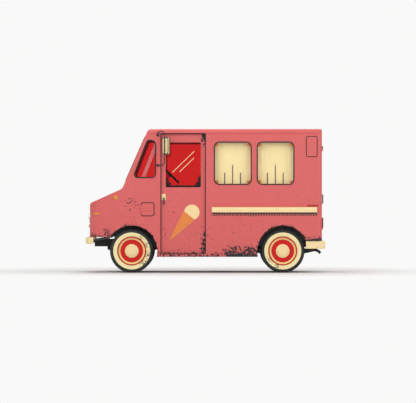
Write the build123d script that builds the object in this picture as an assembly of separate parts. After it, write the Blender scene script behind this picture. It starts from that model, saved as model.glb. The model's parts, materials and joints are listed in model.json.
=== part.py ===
from build123d import *
import os
from math import atan2, copysign, cos, degrees, hypot, radians, sin

# Ice cream truck: a compact walk-in van with a short nose, sliding cab doors, twin rear doors and a
# curtained load space, on a ladder frame with leaf springs. Millimetres. X points forward, Y to the
# driver's left and Z up. The origin is on the ground, midway between the bumpers' ends.

# Body outline, side view
BUMPER_END_X = 2162
NOSE_X = 2090
BODY_REAR_X = -2100
COWL_X, COWL_Z = 1499, 1516
HEADER_X = 1026
ROOF_Z = 2592
HOOD_FRONT_Z = 1251
SILL_Z = 288
FRONT_SKIRT_Z = 644
REAR_SKIRT_Z = 580
REAR_ROOF_RADIUS = 36
HEADER_RADIUS = 90
NOSE_RADIUS = 70

# Body outline, seen from above and from the front
HALF_WIDTH = 950
NOSE_HALF_WIDTH = HALF_WIDTH - 140
TAPER_X = 1500
TAPER_RADIUS = 600
NOSE_CORNER_RADIUS = 170
REAR_CORNER_RADIUS = 60
ROOF_EDGE_RADIUS = 70
ROOF_STEP = 1  # the side view's roof line stands this much higher, so that the round edges cross cleanly
WALL = 40

# Where the panels meet
ROOF_SEAM_Z = ROOF_Z - 77
REAR_SEAM_X = -2032
NOSE_SEAM_X = 2030
PILLAR_SEAM_Y = HALF_WIDTH - 50
HOOD_HALF_WIDTH = HALF_WIDTH - 250
HOOD_GAP = 6
HOOD_BEVEL = 38
HOOD_HINGE = (COWL_X + 13, COWL_Z + 3)  # X, Z
HOOD_HINGES_Y = [220 - HOOD_HALF_WIDTH, HOOD_HALF_WIDTH - 220]
HOOD_BARREL_RADIUS, HOOD_PIN_RADIUS = 7, 3
HOOD_HINGE_HALF = 40
DRIP_RAIL_SIZE = 16

# Cab doors, which slide back inside the body side
DOOR_FRONT_X, DOOR_REAR_X = 803, -4
DOOR_BOTTOM_Z, DOOR_TOP_Z = SILL_Z + 54, ROOF_SEAM_Z - 9
DOOR_THICKNESS = 35
DOOR_LAP = 20
DOOR_LAP_BELOW = 12
DOOR_CLEARANCE = 6
DOOR_TRAVEL = 700
DOOR_CORNER = 12
# Rear X, front X, low Z, high Z and corner radius of what lies on the door
DOOR_WINDOW = (DOOR_REAR_X + 81, DOOR_FRONT_X - 85, DOOR_TOP_Z - 971, DOOR_TOP_Z - 153, 22)
HANDLE_PLATE = (DOOR_FRONT_X - 88, DOOR_FRONT_X - 16, 1306, 1420, 10)
HANDLE_LEVER = (DOOR_FRONT_X - 68, DOOR_FRONT_X - 45, 1231, 1356, 11)
HANDLE_PLATE_PROUD, HANDLE_LEVER_PROUD = 6, 26
SHOE_INSET, SHOE_HALF, SHOE_HALF_WIDTH = 120, 30, 7
TRACK_DEPTH = 14
TRACK_LIP, TRACK_PLATE = 30, 6

# Windows: rear X, front X, low Z, high Z, corner radius
WINDOW_LOW_Z, WINDOW_HIGH_Z = ROOF_Z - 999, ROOF_Z - 238
SIDE_WINDOWS = [(-824, -162, WINDOW_LOW_Z, WINDOW_HIGH_Z, 90), (-1593, -934, WINDOW_LOW_Z, WINDOW_HIGH_Z, 90)]
GLASS = 6
GLASS_GAP = 0.3
QUARTER_REAR_X = DOOR_FRONT_X + 93
QUARTER_LOW_Z, QUARTER_HIGH_Z = COWL_Z + 199, ROOF_Z - 205
QUARTER_PILLAR_LOW, QUARTER_PILLAR_HIGH = 106, 71  # how far its front corners stand behind the windscreen
QUARTER_RADII = (75, 60, 55, 85)
PANE_INNER_Y, PANE_OUTER_Y = 34, PILLAR_SEAM_Y - 74
PANE_MARGIN, PANE_RADIUS = 160, 70

# Side fittings
RAIL_FRONT_X, RAIL_REAR_X = -115, -2009
RAIL_LOW_Z, RAIL_HIGH_Z = 1087, 1184
RAIL_DEPTH = 62
HATCH = (-2009, -1820, ROOF_Z - 499, ROOF_Z - 139, 27)  # rear X, front X, low Z, high Z, corner radius
HATCH_PROUD = 9
# Rear X, front X, low Z, high Z, corner radius
FLAP = (DOOR_FRONT_X + 124, DOOR_FRONT_X + 354, 1030, 1260, 36)
FLAP_THICKNESS = 12
FLAP_GAP = 5
FLAP_PIN_RADIUS, FLAP_BARREL_RADIUS = 3, 7
FLAP_LEAF, FLAP_LEAF_THICKNESS = 40, 4
FLAP_LUG, FLAP_LUG_LENGTH = 16, 12
FLAP_STOP, FLAP_STOP_RADIUS = 30, 8

# Wheels, single all round, on 19.5 inch rims
FRONT_AXLE_X, REAR_AXLE_X = 1328, -1395
TYRE_RADIUS = 393
TYRE_WIDTH = 200
# From tread to bead: share of the depth, share of the way out from the bead's face to the widest place
TYRE_SECTION = [(0, 0.25), (0.18, 0.76), (0.5, 1), (0.86, 0.45), (1, 0)]
RIM_RADIUS = 256
BEAD_RADIUS = 247
RIM_WIDTH = 152
WHEEL_Y = HALF_WIDTH - 170
HUB_CAP_RADIUS = 121
DISC_OUTER_RADIUS = 207
DRUM_RADIUS = 170
SPINDLE_RADIUS = 25
DRUM_DEPTH = 64
RIM_WALL, FLANGE = 12, 7
DISC_OFFSET, DISC_DISH = 30, 16
HUB_CAP_DEPTH, HUB_CAP_RISE, HUB_CAP_TOP_RADIUS = 10, 30, 70
SPINDLE_END_GAP = 12
RUNNING_GAP = 0.3
ARCH_RADIUS = 461
ARCH_LINER = 20
WHEEL_Z = TYRE_RADIUS

# Frame and running gear
RAIL_OUTER_Y = 432
RAIL_WIDTH = 60
FRAME_TOP_Z, FRAME_LOW_Z = 600, 470
FRAME_FRONT_X, FRAME_REAR_X = 2010, -2050
FRAME_WALL = 8
FLOOR = 40
KINGPIN_Y = WHEEL_Y - 140
KINGPIN_RADIUS = 18
BOSS_RADIUS = 38
BOSS_HALF_HEIGHT = 45
STEER_ARM = 130
ARM_WIDTH, ARM_THICKNESS = 44, 18
EAR, EAR_GAP = 30, 1
STUD_RADIUS = 9
BACKING_Y, BACKING_PLATE, BACKING_RADIUS = WHEEL_Y - 78, 10, 178
SPINDLE_END_Y = WHEEL_Y + 32
BEAM_WIDTH, BEAM_HEIGHT = 60, 70
BEAM_LOW_Z, BEAM_FLAT_HALF = WHEEL_Z - 123, KINGPIN_Y - 140
BEAM_KNEE_LOW, BEAM_KNEE_HIGH, BEAM_LAP = 60, 40, 20
AXLE_TUBE_RADIUS = 45
DIFFERENTIAL_RADIUS, DIFFERENTIAL_HALF, DIFFERENTIAL_EDGE = 150, 120, 50
PINION_LENGTH, PINION_HALF = 170, 60
SPRING_THICKNESS, SPRING_END_Z = 40, 415
FRONT_SPRING_HALF, REAR_SPRING_HALF = 450, 560
HANGER = 36
CROSS_MEMBERS_X = [-2000, -1000, -200, 1780]
CROSS_MEMBER_Z = 540
TIE_ROD_Z = 300
TIE_ROD_RADIUS = 10
TIE_ROD_EYE_RADIUS, TIE_ROD_EYE_HALF = 22, 13

# Rear doors
REAR_OPENING_HALF = HALF_WIDTH - 250
REAR_OPENING_LOW_Z, REAR_OPENING_HIGH_Z = FRAME_TOP_Z + FLOOR, ROOF_Z - 192
REAR_OPENING_RADIUS, REAR_LEAF_RADIUS = 30, 24
REAR_DOOR_GAP = 6
# Inner Y, outer Y, low Z, high Z, corner radius
REAR_WINDOW = (130, REAR_OPENING_HALF - 130, REAR_OPENING_HIGH_Z - 840, REAR_OPENING_HIGH_Z - 140, 60)
HINGE_HEIGHTS = [REAR_OPENING_LOW_Z + 180, REAR_OPENING_HIGH_Z - 160]
REAR_GRIP_Y, REAR_GRIP_Z = 70, 1330
REAR_GRIP_HALF, REAR_GRIP_REACH = 90, 45
REAR_GRIP_RADIUS, REAR_GRIP_BEND = 8, 22
HINGE_BARREL_RADIUS = 11
HINGE_PIN_RADIUS = 5
HINGE_HALF_LENGTH = 45
HINGE_STAND_OFF = 14
HINGE_LEAF = 6
HINGE_STRAP = 70
HINGE_SWING_GAP = 1

# Nose fittings
GRILLE = (-390, 390, 760, 1120, 40)  # Y from and to, Z from and to, corner radius
GRILLE_BARS = 7
GRILLE_BAR = 16
GRILLE_FRAME = 28
GRILLE_DEPTH = 30
HEAD_LAMP_Y, HEAD_LAMP_Z = NOSE_HALF_WIDTH - 285, 1000
HEAD_LAMP_RADIUS = 95
HEAD_LAMP_RIM = 14
HEAD_LAMP_RISE = 26
GRILLE_PROUD = 8
FENDER_LAMP = (1618, 1352, 41, 4, 22)  # X, Z, radius, drum depth, rise
TURN_LAMP = (838, 38, 4, 20)  # Z, radius, drum depth, rise
NOSE_MARKER = (NOSE_X - 189, NOSE_X - 70, 1053, 1081)  # X and Z from and to
NOSE_MARKER_PROUD = 12
REAR_MARKER = (BODY_REAR_X + 71, BODY_REAR_X + 269, RAIL_HIGH_Z + 15, RAIL_HIGH_Z + 38)  # X and Z from and to
REAR_MARKER_PROUD = 14
TAIL_LAMP = (HALF_WIDTH - 170, HALF_WIDTH - 70, 810, 990)  # Y and Z from and to
TAIL_LAMP_PROUD, TAIL_LAMP_EDGE = 26, 9

# Bumpers
BUMPER_BAR = 50
FRONT_BUMPER = (NOSE_X - 70, HALF_WIDTH - 70, 522, 640)  # end X, half width, low Z, high Z
REAR_BUMPER = (BODY_REAR_X + 287, HALF_WIDTH, 434, 572)  # end X, half width, low Z, high Z
FRONT_BUMPER_RADIUS = 110
REAR_BUMPER_RADIUS = 60
BUMPER_EDGE = 14
BRACKET_LAP = 60
BRACKET_LIFTS = [(20, 60), (50, 100)]  # front and rear: from and to, above the bumper's low edge
# Front bumper's stays: X behind the nose and Z
STAY = [(-70, 570), (-30, 570), (-30, 596), (-338, 644), (-368, 644), (-368, 618)]
STAY_WIDTH = 22
PLATE_HOLE_RADIUS = 3.5
PLATE_HOLE_SPACING = 178

# Mirrors
MIRROR_ROD_X, MIRROR_ROD_Y = 737, HALF_WIDTH + 142
MIRROR_FOOT_X = 855
MIRROR_TOP_Z, MIRROR_LOW_Z = ROOF_Z - 43, ROOF_Z - 655
MIRROR_FOOT_TOP_Z = ROOF_Z - 114
MIRROR_ROD_RADIUS = 9
MIRROR_FOOT_RADIUS = 26
MIRROR_FOOT = 9
MIRROR_BEND = 40
MIRROR_CLAMP, MIRROR_CLAMP_HEIGHT = 6, 26
MIRROR_HEAD = (170, 304, 46, 24)  # width, height, depth, corner cut
MIRROR_EDGE, MIRROR_RIM, MIRROR_RECESS = 18, 8, 3
MIRROR_HEAD_Z = ROOF_Z - 309
MIRROR_TURN = 40

# Load space
CURTAIN_Y = HALF_WIDTH - 125
CURTAIN_THICKNESS = 20
CURTAIN_LAP = 25
CURTAIN_LOW_Z, CURTAIN_TOP_Z = WINDOW_LOW_Z - 48, WINDOW_HIGH_Z + 61

# Floor, step wells and wheelhouses
FLOOR_REAR_X, FIREWALL_X = -2058, 1290
STEP_INNER_Y = HALF_WIDTH - 410
STEP_WALL = 20
ENGINE_OPENING_X, ENGINE_OPENING_HALF = 660, 330
# Axle X, inner Y, skirt Z
WHEELHOUSES = [(FRONT_AXLE_X, WHEEL_Y - 340, FRONT_SKIRT_Z), (REAR_AXLE_X, WHEEL_Y - 200, REAR_SKIRT_Z)]
LOAD_MAT = (-870, -60, 750, 5)  # X from and to, half width, thickness

# Cab furniture
FIREWALL_TOP_Z = 1472
DASH = [(0, 1230), (0, 1400), (-115, 1400), (-150, 1340), (-140, 1230)]  # X behind the firewall, Z
COVER_TOP_Z = 1010
STEERING_CENTRE = (640, 420, 1780)
STEERING_RADIUS = 210
STEERING_RIM_RADIUS = 13
COLUMN_TILT = 45
COLUMN_RADIUS = 30
COLUMN_START = 45
COLUMN_LENGTH = 800
STEERING_SHAFT_RADIUS = 11
HUB_RADIUS = 45
SPOKE_WIDTH, SPOKE_THICKNESS = 26, 10
STEERING_SPOKES = [30, 150, 270]
SEAT_BASE = (290, 540, 325, 515, 640, 1080)  # X, Y and Z from and to
SEAT_CUSHION = (220, 660, 200, 640, 1080, 1190)
SEAT_BACK = (150, 235, 205, 635, 1190, 1520)

# Engine, tank, exhaust and freezer: X, Y and Z from and to
ENGINE_BLOCK = (1050, 1650, -260, 260, 480, 960)
ENGINE_MOUNT = (1270, 1330, 260, 372, 520, 560)
GEARBOX = (660, 1050, -110, 110, 440, 620)
DRIVE_SHAFT_RADIUS = 38
DRIVE_SHAFT_Z = 520
FUEL_TANK = (-820, -180, 450, 840, 330, 580)
FREEZER = (-1890, -920, -570, -20, 640, 1480)
EXHAUST_RADIUS = 26
MUFFLER = (-900, -300, -540, 430, 85)  # X from and to, Y, Z, radius
MUFFLER_EDGE = 20
# Exhaust's runs, as X and Y at the muffler's height, then X, Y and Z, with the length of each bend
HEAD_PIPE, HEAD_PIPE_BENDS = [(780, -320), (560, -465), (-60, -465)], [40, 120, 120, 120]
MANIFOLD = (1120, 1200, -345, 545, 590)  # X, from Y, and Z from and to
TAIL_PIPE = [
    (-960, -540, 430), (-1150, -506, 500), (-1640, -506, 500), (-1790, -560, 390), (-2070, -560, 390),
]
TAIL_PIPE_BENDS, TAIL_TIP = [30, 60, 60, 60, 30], (-2120, -560, 330)
TAIL_HANGER, TAIL_HANGER_HALF = (-1930, -1900), 4
PIPE_SIDES = 8

INNER_HALF = HALF_WIDTH - WALL
DOOR_OUTER_Y = INNER_HALF - DOOR_CLEARANCE
DOOR_INNER_Y = DOOR_OUTER_Y - DOOR_THICKNESS
POCKET_Y = DOOR_INNER_Y - DOOR_CLEARANCE
FLOOR_TOP_Z = FRAME_TOP_Z + FLOOR
BELOW_ALL = -500
ABOVE_ALL = ROOF_Z + 500


def block(x0, x1, y0, y1, z0, z1):
    """A box between two corners."""
    return Pos((x0 + x1) / 2, (y0 + y1) / 2, (z0 + z1) / 2) * Box(x1 - x0, y1 - y0, z1 - z0)


def across(face, y0, y1):
    """A side-view face (X, Z) drawn out from y0 to y1."""
    plane = Plane(origin=(0, y1, 0), x_dir=(1, 0, 0), z_dir=(0, -1, 0))
    return extrude(plane * face, amount=y1 - y0, dir=(0, -1, 0))


def upward(face, z0, z1):
    """A plan face (X, Y) drawn out from z0 to z1."""
    return extrude(Pos(0, 0, z0) * face, amount=z1 - z0, dir=(0, 0, 1))


def lengthwise(face, x0, x1):
    """A front-view face (Y, Z) drawn out from x0 to x1."""
    plane = Plane(origin=(x0, 0, 0), x_dir=(0, 1, 0), z_dir=(1, 0, 0))
    return extrude(plane * face, amount=x1 - x0, dir=(1, 0, 0))


def rounded(u0, u1, v0, v1, radius, inset=0):
    """A rounded rectangle between two corners, drawn in by inset."""
    width, height = u1 - u0 - 2 * inset, v1 - v0 - 2 * inset
    return Pos((u0 + u1) / 2, (v0 + v1) / 2) * RectangleRounded(width, height, radius - inset)


def outline(points, inset=0):
    """A face through corners given anticlockwise as (u, v, radius), with each side moved in by inset."""
    corners = []
    for i, (u, v, radius) in enumerate(points):
        before, after = points[i - 1], points[(i + 1) % len(points)]
        turn_in = atan2(v - before[1], u - before[0])
        turn_out = atan2(after[1] - v, after[0] - u)
        share = inset / (1 + cos(turn_out - turn_in))
        u -= share * (sin(turn_in) + sin(turn_out))
        v += share * (cos(turn_in) + cos(turn_out))
        corners.append((u, v, max(radius - inset, 0)))
    face = Polygon(*[(u, v) for u, v, _ in corners], align=None)
    for u, v, radius in corners:
        if radius:
            face = fillet(face.vertices().sort_by_distance((u, v, 0))[0], radius)
    return face


def cross_rod(x, z, radius, y0, y1):
    """A round bar along Y."""
    return Pos(x, (y0 + y1) / 2, z) * Rot(90, 0, 0) * Cylinder(radius, abs(y1 - y0))


def long_rod(y, z, radius, x0, x1):
    """A round bar along X."""
    return Pos((x0 + x1) / 2, y, z) * Rot(0, 90, 0) * Cylinder(radius, abs(x1 - x0))


def post(x, y, radius, z0, z1):
    """A round bar along Z."""
    return Pos(x, y, (z0 + z1) / 2) * Cylinder(radius, z1 - z0)


def tube(points, bends, radius):
    """A thin pipe's outer form along straight runs, each corner between them eased by its bend's length."""
    corners = [Vector(*point) for point in points]
    run = [corners[0]]
    for before, here, after, bend in zip(corners, corners[1:], corners[2:], bends):
        run += [here + (end - here).normalized() * bend for end in (before, after)]
    path = Polyline(*run, corners[-1])
    section = Plane(path @ 0, z_dir=path % 0) * RegularPolygon(radius, PIPE_SIDES)
    return sweep(section, path=path, transition=Transition.RIGHT)


def mirrored(shape):
    """The same shape on the other side of the truck."""
    return mirror(shape, about=Plane.XZ)


def pair(shape):
    """A left piece and its mirror image as two solids."""
    return Compound(children=[*shape.solids(), *mirrored(shape).solids()])


def group(*shapes):
    """Several solids that stay apart."""
    return Compound(children=[solid for shape in shapes for solid in shape.solids()])


def side_face(inset, bottom):
    """The body's side view."""
    points = [
        (BODY_REAR_X, bottom, 0),
        (NOSE_X, bottom, 0),
        (NOSE_X, HOOD_FRONT_Z, NOSE_RADIUS),
        (COWL_X, COWL_Z, 0),
        (HEADER_X, ROOF_Z + ROOF_STEP, HEADER_RADIUS),
        (BODY_REAR_X, ROOF_Z + ROOF_STEP, REAR_ROOF_RADIUS),
    ]
    return outline(points, inset)


def plan_face(inset):
    """The body seen from above."""
    right = [
        (BODY_REAR_X, -HALF_WIDTH, REAR_CORNER_RADIUS),
        (TAPER_X, -HALF_WIDTH, TAPER_RADIUS),
        (NOSE_X, -NOSE_HALF_WIDTH, NOSE_CORNER_RADIUS),
    ]
    left = [(x, -y, radius) for x, y, radius in reversed(right)]
    return outline(right + left, inset)


def front_face(inset, bottom):
    """The body seen from the front."""
    points = [
        (-HALF_WIDTH, bottom, 0),
        (HALF_WIDTH, bottom, 0),
        (HALF_WIDTH, ROOF_Z, ROOF_EDGE_RADIUS),
        (-HALF_WIDTH, ROOF_Z, ROOF_EDGE_RADIUS),
    ]
    return outline(points, inset)


def body_volume(inset, bottom):
    """The body as one solid, drawn in by inset on every side but the bottom."""
    reach = 2 * BUMPER_END_X
    side = across(side_face(inset, bottom), -reach, reach)
    plan = upward(plan_face(inset), bottom - reach, ABOVE_ALL)
    front = lengthwise(front_face(inset, bottom), -reach, reach)
    return side & plan & front


def body_shell():
    """The whole skin, open below, with the wheel arches and the raised skirts cut."""
    shell = body_volume(0, SILL_Z) - body_volume(WALL, SILL_Z - 4 * WALL)
    shell -= block(FRONT_AXLE_X, 2 * NOSE_X, -2 * HALF_WIDTH, 2 * HALF_WIDTH, BELOW_ALL, FRONT_SKIRT_Z)
    shell -= block(2 * BODY_REAR_X, REAR_AXLE_X, -2 * HALF_WIDTH, 2 * HALF_WIDTH, BELOW_ALL, REAR_SKIRT_Z)
    for axle_x in (FRONT_AXLE_X, REAR_AXLE_X):
        shell -= cross_rod(axle_x, WHEEL_Z, ARCH_RADIUS, -2 * HALF_WIDTH, 2 * HALF_WIDTH)
    return shell


def windscreen_plane():
    """The plane of the windscreen: its x runs across the truck and its y up the slope."""
    rise, run = ROOF_Z - COWL_Z, HEADER_X - COWL_X
    length = hypot(rise, run)
    origin = ((COWL_X + HEADER_X) / 2, 0, (COWL_Z + ROOF_Z) / 2)
    return Plane(origin=origin, x_dir=(0, 1, 0), z_dir=(rise / length, 0, -run / length))


def windscreen_pane():
    """The left pane on the windscreen's plane: Y from and to, low and high up the slope, corner radius."""
    reach = hypot(ROOF_Z - COWL_Z, HEADER_X - COWL_X) / 2 - PANE_MARGIN
    return PANE_INNER_Y, PANE_OUTER_Y, -reach, reach, PANE_RADIUS


def quarter_window():
    """The corners of the window behind the windscreen pillar: X, Z and radius."""
    slope = (HEADER_X - COWL_X) / (ROOF_Z - COWL_Z)
    corners = [
        (QUARTER_REAR_X, QUARTER_LOW_Z),
        (COWL_X + slope * (QUARTER_LOW_Z - COWL_Z) - QUARTER_PILLAR_LOW, QUARTER_LOW_Z),
        (COWL_X + slope * (QUARTER_HIGH_Z - COWL_Z) - QUARTER_PILLAR_HIGH, QUARTER_HIGH_Z),
        (QUARTER_REAR_X, QUARTER_HIGH_Z),
    ]
    return [(x, z, radius) for (x, z), radius in zip(corners, QUARTER_RADII)]


def hood_hinge(y, on_hood):
    """Half of a hood hinge: the cowl's half carries the pin, the hood's half turns on it."""
    x, z = HOOD_HINGE
    pin, barrel = HOOD_PIN_RADIUS, HOOD_BARREL_RADIUS
    if on_hood:
        y0, y1 = y + RUNNING_GAP, y + HOOD_HINGE_HALF
        half = cross_rod(x, z, barrel, y0, y1)
        half += block(x, x + 3 * barrel, y0, y1, z - 3 * barrel, z - barrel / 2)
        return half - cross_rod(x, z, pin + RUNNING_GAP, y0, y1)
    y0, y1 = y - HOOD_HINGE_HALF, y
    half = cross_rod(x, z, barrel, y0, y1) + block(x - 3 * barrel, x, y0, y1, z - barrel / 2, z + barrel / 2)
    return half + cross_rod(x, z, pin, y, y + HOOD_HINGE_HALF)


def body_panels():
    """The skin split where the real panels meet, with the windows cut."""
    shell = body_shell()
    wide = 2 * HALF_WIDTH
    roof = shell & block(2 * BODY_REAR_X, 2 * NOSE_X, -wide, wide, ROOF_SEAM_Z, ABOVE_ALL)
    drip_y = (HALF_WIDTH, HALF_WIDTH + DRIP_RAIL_SIZE)
    drip = block(REAR_SEAM_X, HEADER_X, *drip_y, ROOF_SEAM_Z, ROOF_SEAM_Z + DRIP_RAIL_SIZE)
    drip = chamfer(drip.edges().filter_by(Axis.X).group_by(Axis.Y)[-1], DRIP_RAIL_SIZE / 3)
    roof = roof + drip + mirrored(drip)

    lower = shell - block(2 * BODY_REAR_X, 2 * NOSE_X, -wide, wide, ROOF_SEAM_Z, ABOVE_ALL)
    rear = lower & block(2 * BODY_REAR_X, REAR_SEAM_X, -wide, wide, BELOW_ALL, ABOVE_ALL)
    nose = lower & block(NOSE_SEAM_X, 2 * NOSE_X, -wide, wide, BELOW_ALL, ABOVE_ALL)

    side = lower & block(REAR_SEAM_X, DOOR_REAR_X, 0, wide, BELOW_ALL, ABOVE_ALL)
    for window in SIDE_WINDOWS:
        side -= across(rounded(*window), 0, wide)
    side -= across(rounded(*HATCH), HALF_WIDTH - FLAP_THICKNESS, wide)

    cab = lower & block(DOOR_FRONT_X, NOSE_SEAM_X, 0, wide, BELOW_ALL, ABOVE_ALL)
    cab -= block(DOOR_FRONT_X, COWL_X, 0, PILLAR_SEAM_Y, BELOW_ALL, ABOVE_ALL)
    cab -= block(COWL_X, NOSE_SEAM_X, 0, HOOD_HALF_WIDTH + HOOD_GAP, BELOW_ALL, ABOVE_ALL)
    cab -= across(outline(quarter_window()), 0, wide)

    screen = lower & block(DOOR_FRONT_X, COWL_X, -PILLAR_SEAM_Y, PILLAR_SEAM_Y, BELOW_ALL, ABOVE_ALL)
    pane = extrude(windscreen_plane() * rounded(*windscreen_pane()), amount=4 * WALL, both=True)
    screen -= pane + mirrored(pane)

    hood_x = (COWL_X + HOOD_GAP, NOSE_SEAM_X - HOOD_GAP)
    hood = lower & block(*hood_x, -HOOD_HALF_WIDTH, HOOD_HALF_WIDTH, BELOW_ALL, ABOVE_ALL)
    front_x, top_z = hood_x[1], HOOD_FRONT_Z + WALL
    low_z = top_z - 2 * WALL
    bevel = Polygon((front_x, top_z), (front_x - HOOD_BEVEL, low_z), (front_x, low_z), align=None)
    hood -= across(bevel, -HALF_WIDTH, HALF_WIDTH)
    for y in HOOD_HINGES_Y:
        screen += hood_hinge(y, on_hood=False)
        hood += hood_hinge(y, on_hood=True)
    return {
        "roof_panel": roof,
        "rear": rear,
        "nose": nose,
        "side": side,
        "cab": cab,
        "windscreen_frame": screen,
        "hood": hood,
    }


def glazing():
    """Flat panes, each a hair smaller than the opening that it sits in."""
    middle = HALF_WIDTH - WALL / 2
    half = GLASS / 2
    side = [across(rounded(*w, inset=GLASS_GAP), middle - half, middle + half) for w in SIDE_WINDOWS]
    quarter = across(outline(quarter_window(), GLASS_GAP), middle - half, middle + half)
    plane = windscreen_plane().offset(-WALL / 2)
    screen = extrude(plane * rounded(*windscreen_pane(), inset=GLASS_GAP), amount=half, both=True)
    return {
        "side_window_glass": pair(group(*side)),
        "cab_glass": pair(group(quarter, screen)),
    }


def rear_hinge(z, leaf):
    """Half of a rear hinge: the frame's lower half carries the pin, the leaf's upper half turns on it."""
    x, y = BODY_REAR_X - HINGE_STAND_OFF, REAR_OPENING_HALF
    low, high = (z + RUNNING_GAP, z + HINGE_HALF_LENGTH) if leaf else (z - HINGE_HALF_LENGTH, z)
    barrel = post(x, y, HINGE_BARREL_RADIUS, low, high)
    strap_y = (y - HINGE_STRAP, y - HINGE_SWING_GAP) if leaf else (y, y + HINGE_STRAP)
    neck_y = (y - HINGE_LEAF, y - HINGE_SWING_GAP) if leaf else (y, y + HINGE_LEAF)
    strap = block(BODY_REAR_X - HINGE_LEAF, BODY_REAR_X, *strap_y, low, high)
    neck = block(x, BODY_REAR_X, *neck_y, low, high)
    half = barrel + strap + neck
    if leaf:
        return half - post(x, y, HINGE_PIN_RADIUS + RUNNING_GAP, low, high)
    return half + post(x, y, HINGE_PIN_RADIUS, z, z + HINGE_HALF_LENGTH)


def rear_doors(rear):
    """The rear frame with its opening cut, the two leaves, their glass and handles."""
    opening = (-REAR_OPENING_HALF, REAR_OPENING_HALF, REAR_OPENING_LOW_Z, REAR_OPENING_HIGH_Z)
    frame = rear - lengthwise(rounded(*opening, REAR_OPENING_RADIUS), 2 * BODY_REAR_X, REAR_SEAM_X)
    hinges = [rear_hinge(z, leaf=False) for z in HINGE_HEIGHTS]
    for hinge in hinges:
        frame = frame + hinge + mirrored(hinge)

    gap = REAR_DOOR_GAP
    y0, y1 = gap / 2, REAR_OPENING_HALF - gap
    z0, z1 = REAR_OPENING_LOW_Z + gap, REAR_OPENING_HIGH_Z - gap
    leaf = lengthwise(rounded(y0, y1, z0, z1, REAR_LEAF_RADIUS), BODY_REAR_X, BODY_REAR_X + WALL)
    leaf -= lengthwise(rounded(*REAR_WINDOW), 2 * BODY_REAR_X, REAR_SEAM_X)
    middle = BODY_REAR_X + WALL / 2
    glass = lengthwise(rounded(*REAR_WINDOW, inset=GLASS_GAP), middle - GLASS / 2, middle + GLASS / 2)
    for z in HINGE_HEIGHTS:
        leaf = leaf + rear_hinge(z, leaf=True)
    ends = (REAR_GRIP_Z - REAR_GRIP_HALF, REAR_GRIP_Z + REAR_GRIP_HALF)
    places = zip((0, REAR_GRIP_REACH, REAR_GRIP_REACH, 0), (ends[0], *ends, ends[1]))
    run = [(BODY_REAR_X - reach, REAR_GRIP_Y, z) for reach, z in places]
    leaf += tube(run, [REAR_GRIP_BEND, REAR_GRIP_BEND], REAR_GRIP_RADIUS)
    return {
        "rear_frame": frame,
        "rear_door_left": leaf,
        "rear_door_right": mirrored(leaf),
        "rear_glass_left": glass,
        "rear_glass_right": mirrored(glass),
    }


def sliding_doors():
    """The left cab door with its glass and handle, and the tracks on both sides."""
    x0, x1 = DOOR_REAR_X - DOOR_LAP, DOOR_FRONT_X + DOOR_LAP
    z0, z1 = DOOR_BOTTOM_Z - DOOR_LAP_BELOW, DOOR_TOP_Z + DOOR_LAP_BELOW
    door = across(rounded(x0, x1, z0, z1, DOOR_CORNER), DOOR_INNER_Y, DOOR_OUTER_Y)
    door -= across(rounded(*DOOR_WINDOW), 0, HALF_WIDTH)
    track_top = z0 - DOOR_CLEARANCE
    middle = (DOOR_INNER_Y + DOOR_OUTER_Y) / 2
    shoe_y = (middle - SHOE_HALF_WIDTH, middle + SHOE_HALF_WIDTH)
    for x in (x0 + SHOE_INSET, x1 - SHOE_INSET):
        door += block(x - SHOE_HALF, x + SHOE_HALF, *shoe_y, track_top + RUNNING_GAP, z0)
    glass = across(rounded(*DOOR_WINDOW, inset=GLASS_GAP), middle - GLASS / 2, middle + GLASS / 2)

    plate_y = DOOR_OUTER_Y + HANDLE_PLATE_PROUD
    door += across(rounded(*HANDLE_PLATE), DOOR_OUTER_Y, plate_y)
    door += across(rounded(*HANDLE_LEVER), plate_y, DOOR_OUTER_Y + HANDLE_LEVER_PROUD)

    run = (x0 - DOOR_TRAVEL - DOOR_LAP, x1 + DOOR_CLEARANCE)
    lower = block(*run, DOOR_INNER_Y, INNER_HALF, track_top - TRACK_DEPTH, track_top)
    roof_under = ROOF_Z - WALL
    upper = block(*run, POCKET_Y - TRACK_PLATE, POCKET_Y, z1 - TRACK_LIP, roof_under)
    round_starts = INNER_HALF - (ROOF_EDGE_RADIUS - WALL) - ROOF_STEP
    upper += block(*run, POCKET_Y - TRACK_PLATE, round_starts, roof_under - TRACK_PLATE, roof_under)
    return {
        "cab_door_left": door,
        "cab_door_right": mirrored(door),
        "cab_door_glass_left": glass,
        "cab_door_glass_right": mirrored(glass),
        "door_tracks": pair(group(lower, upper)),
    }


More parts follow.
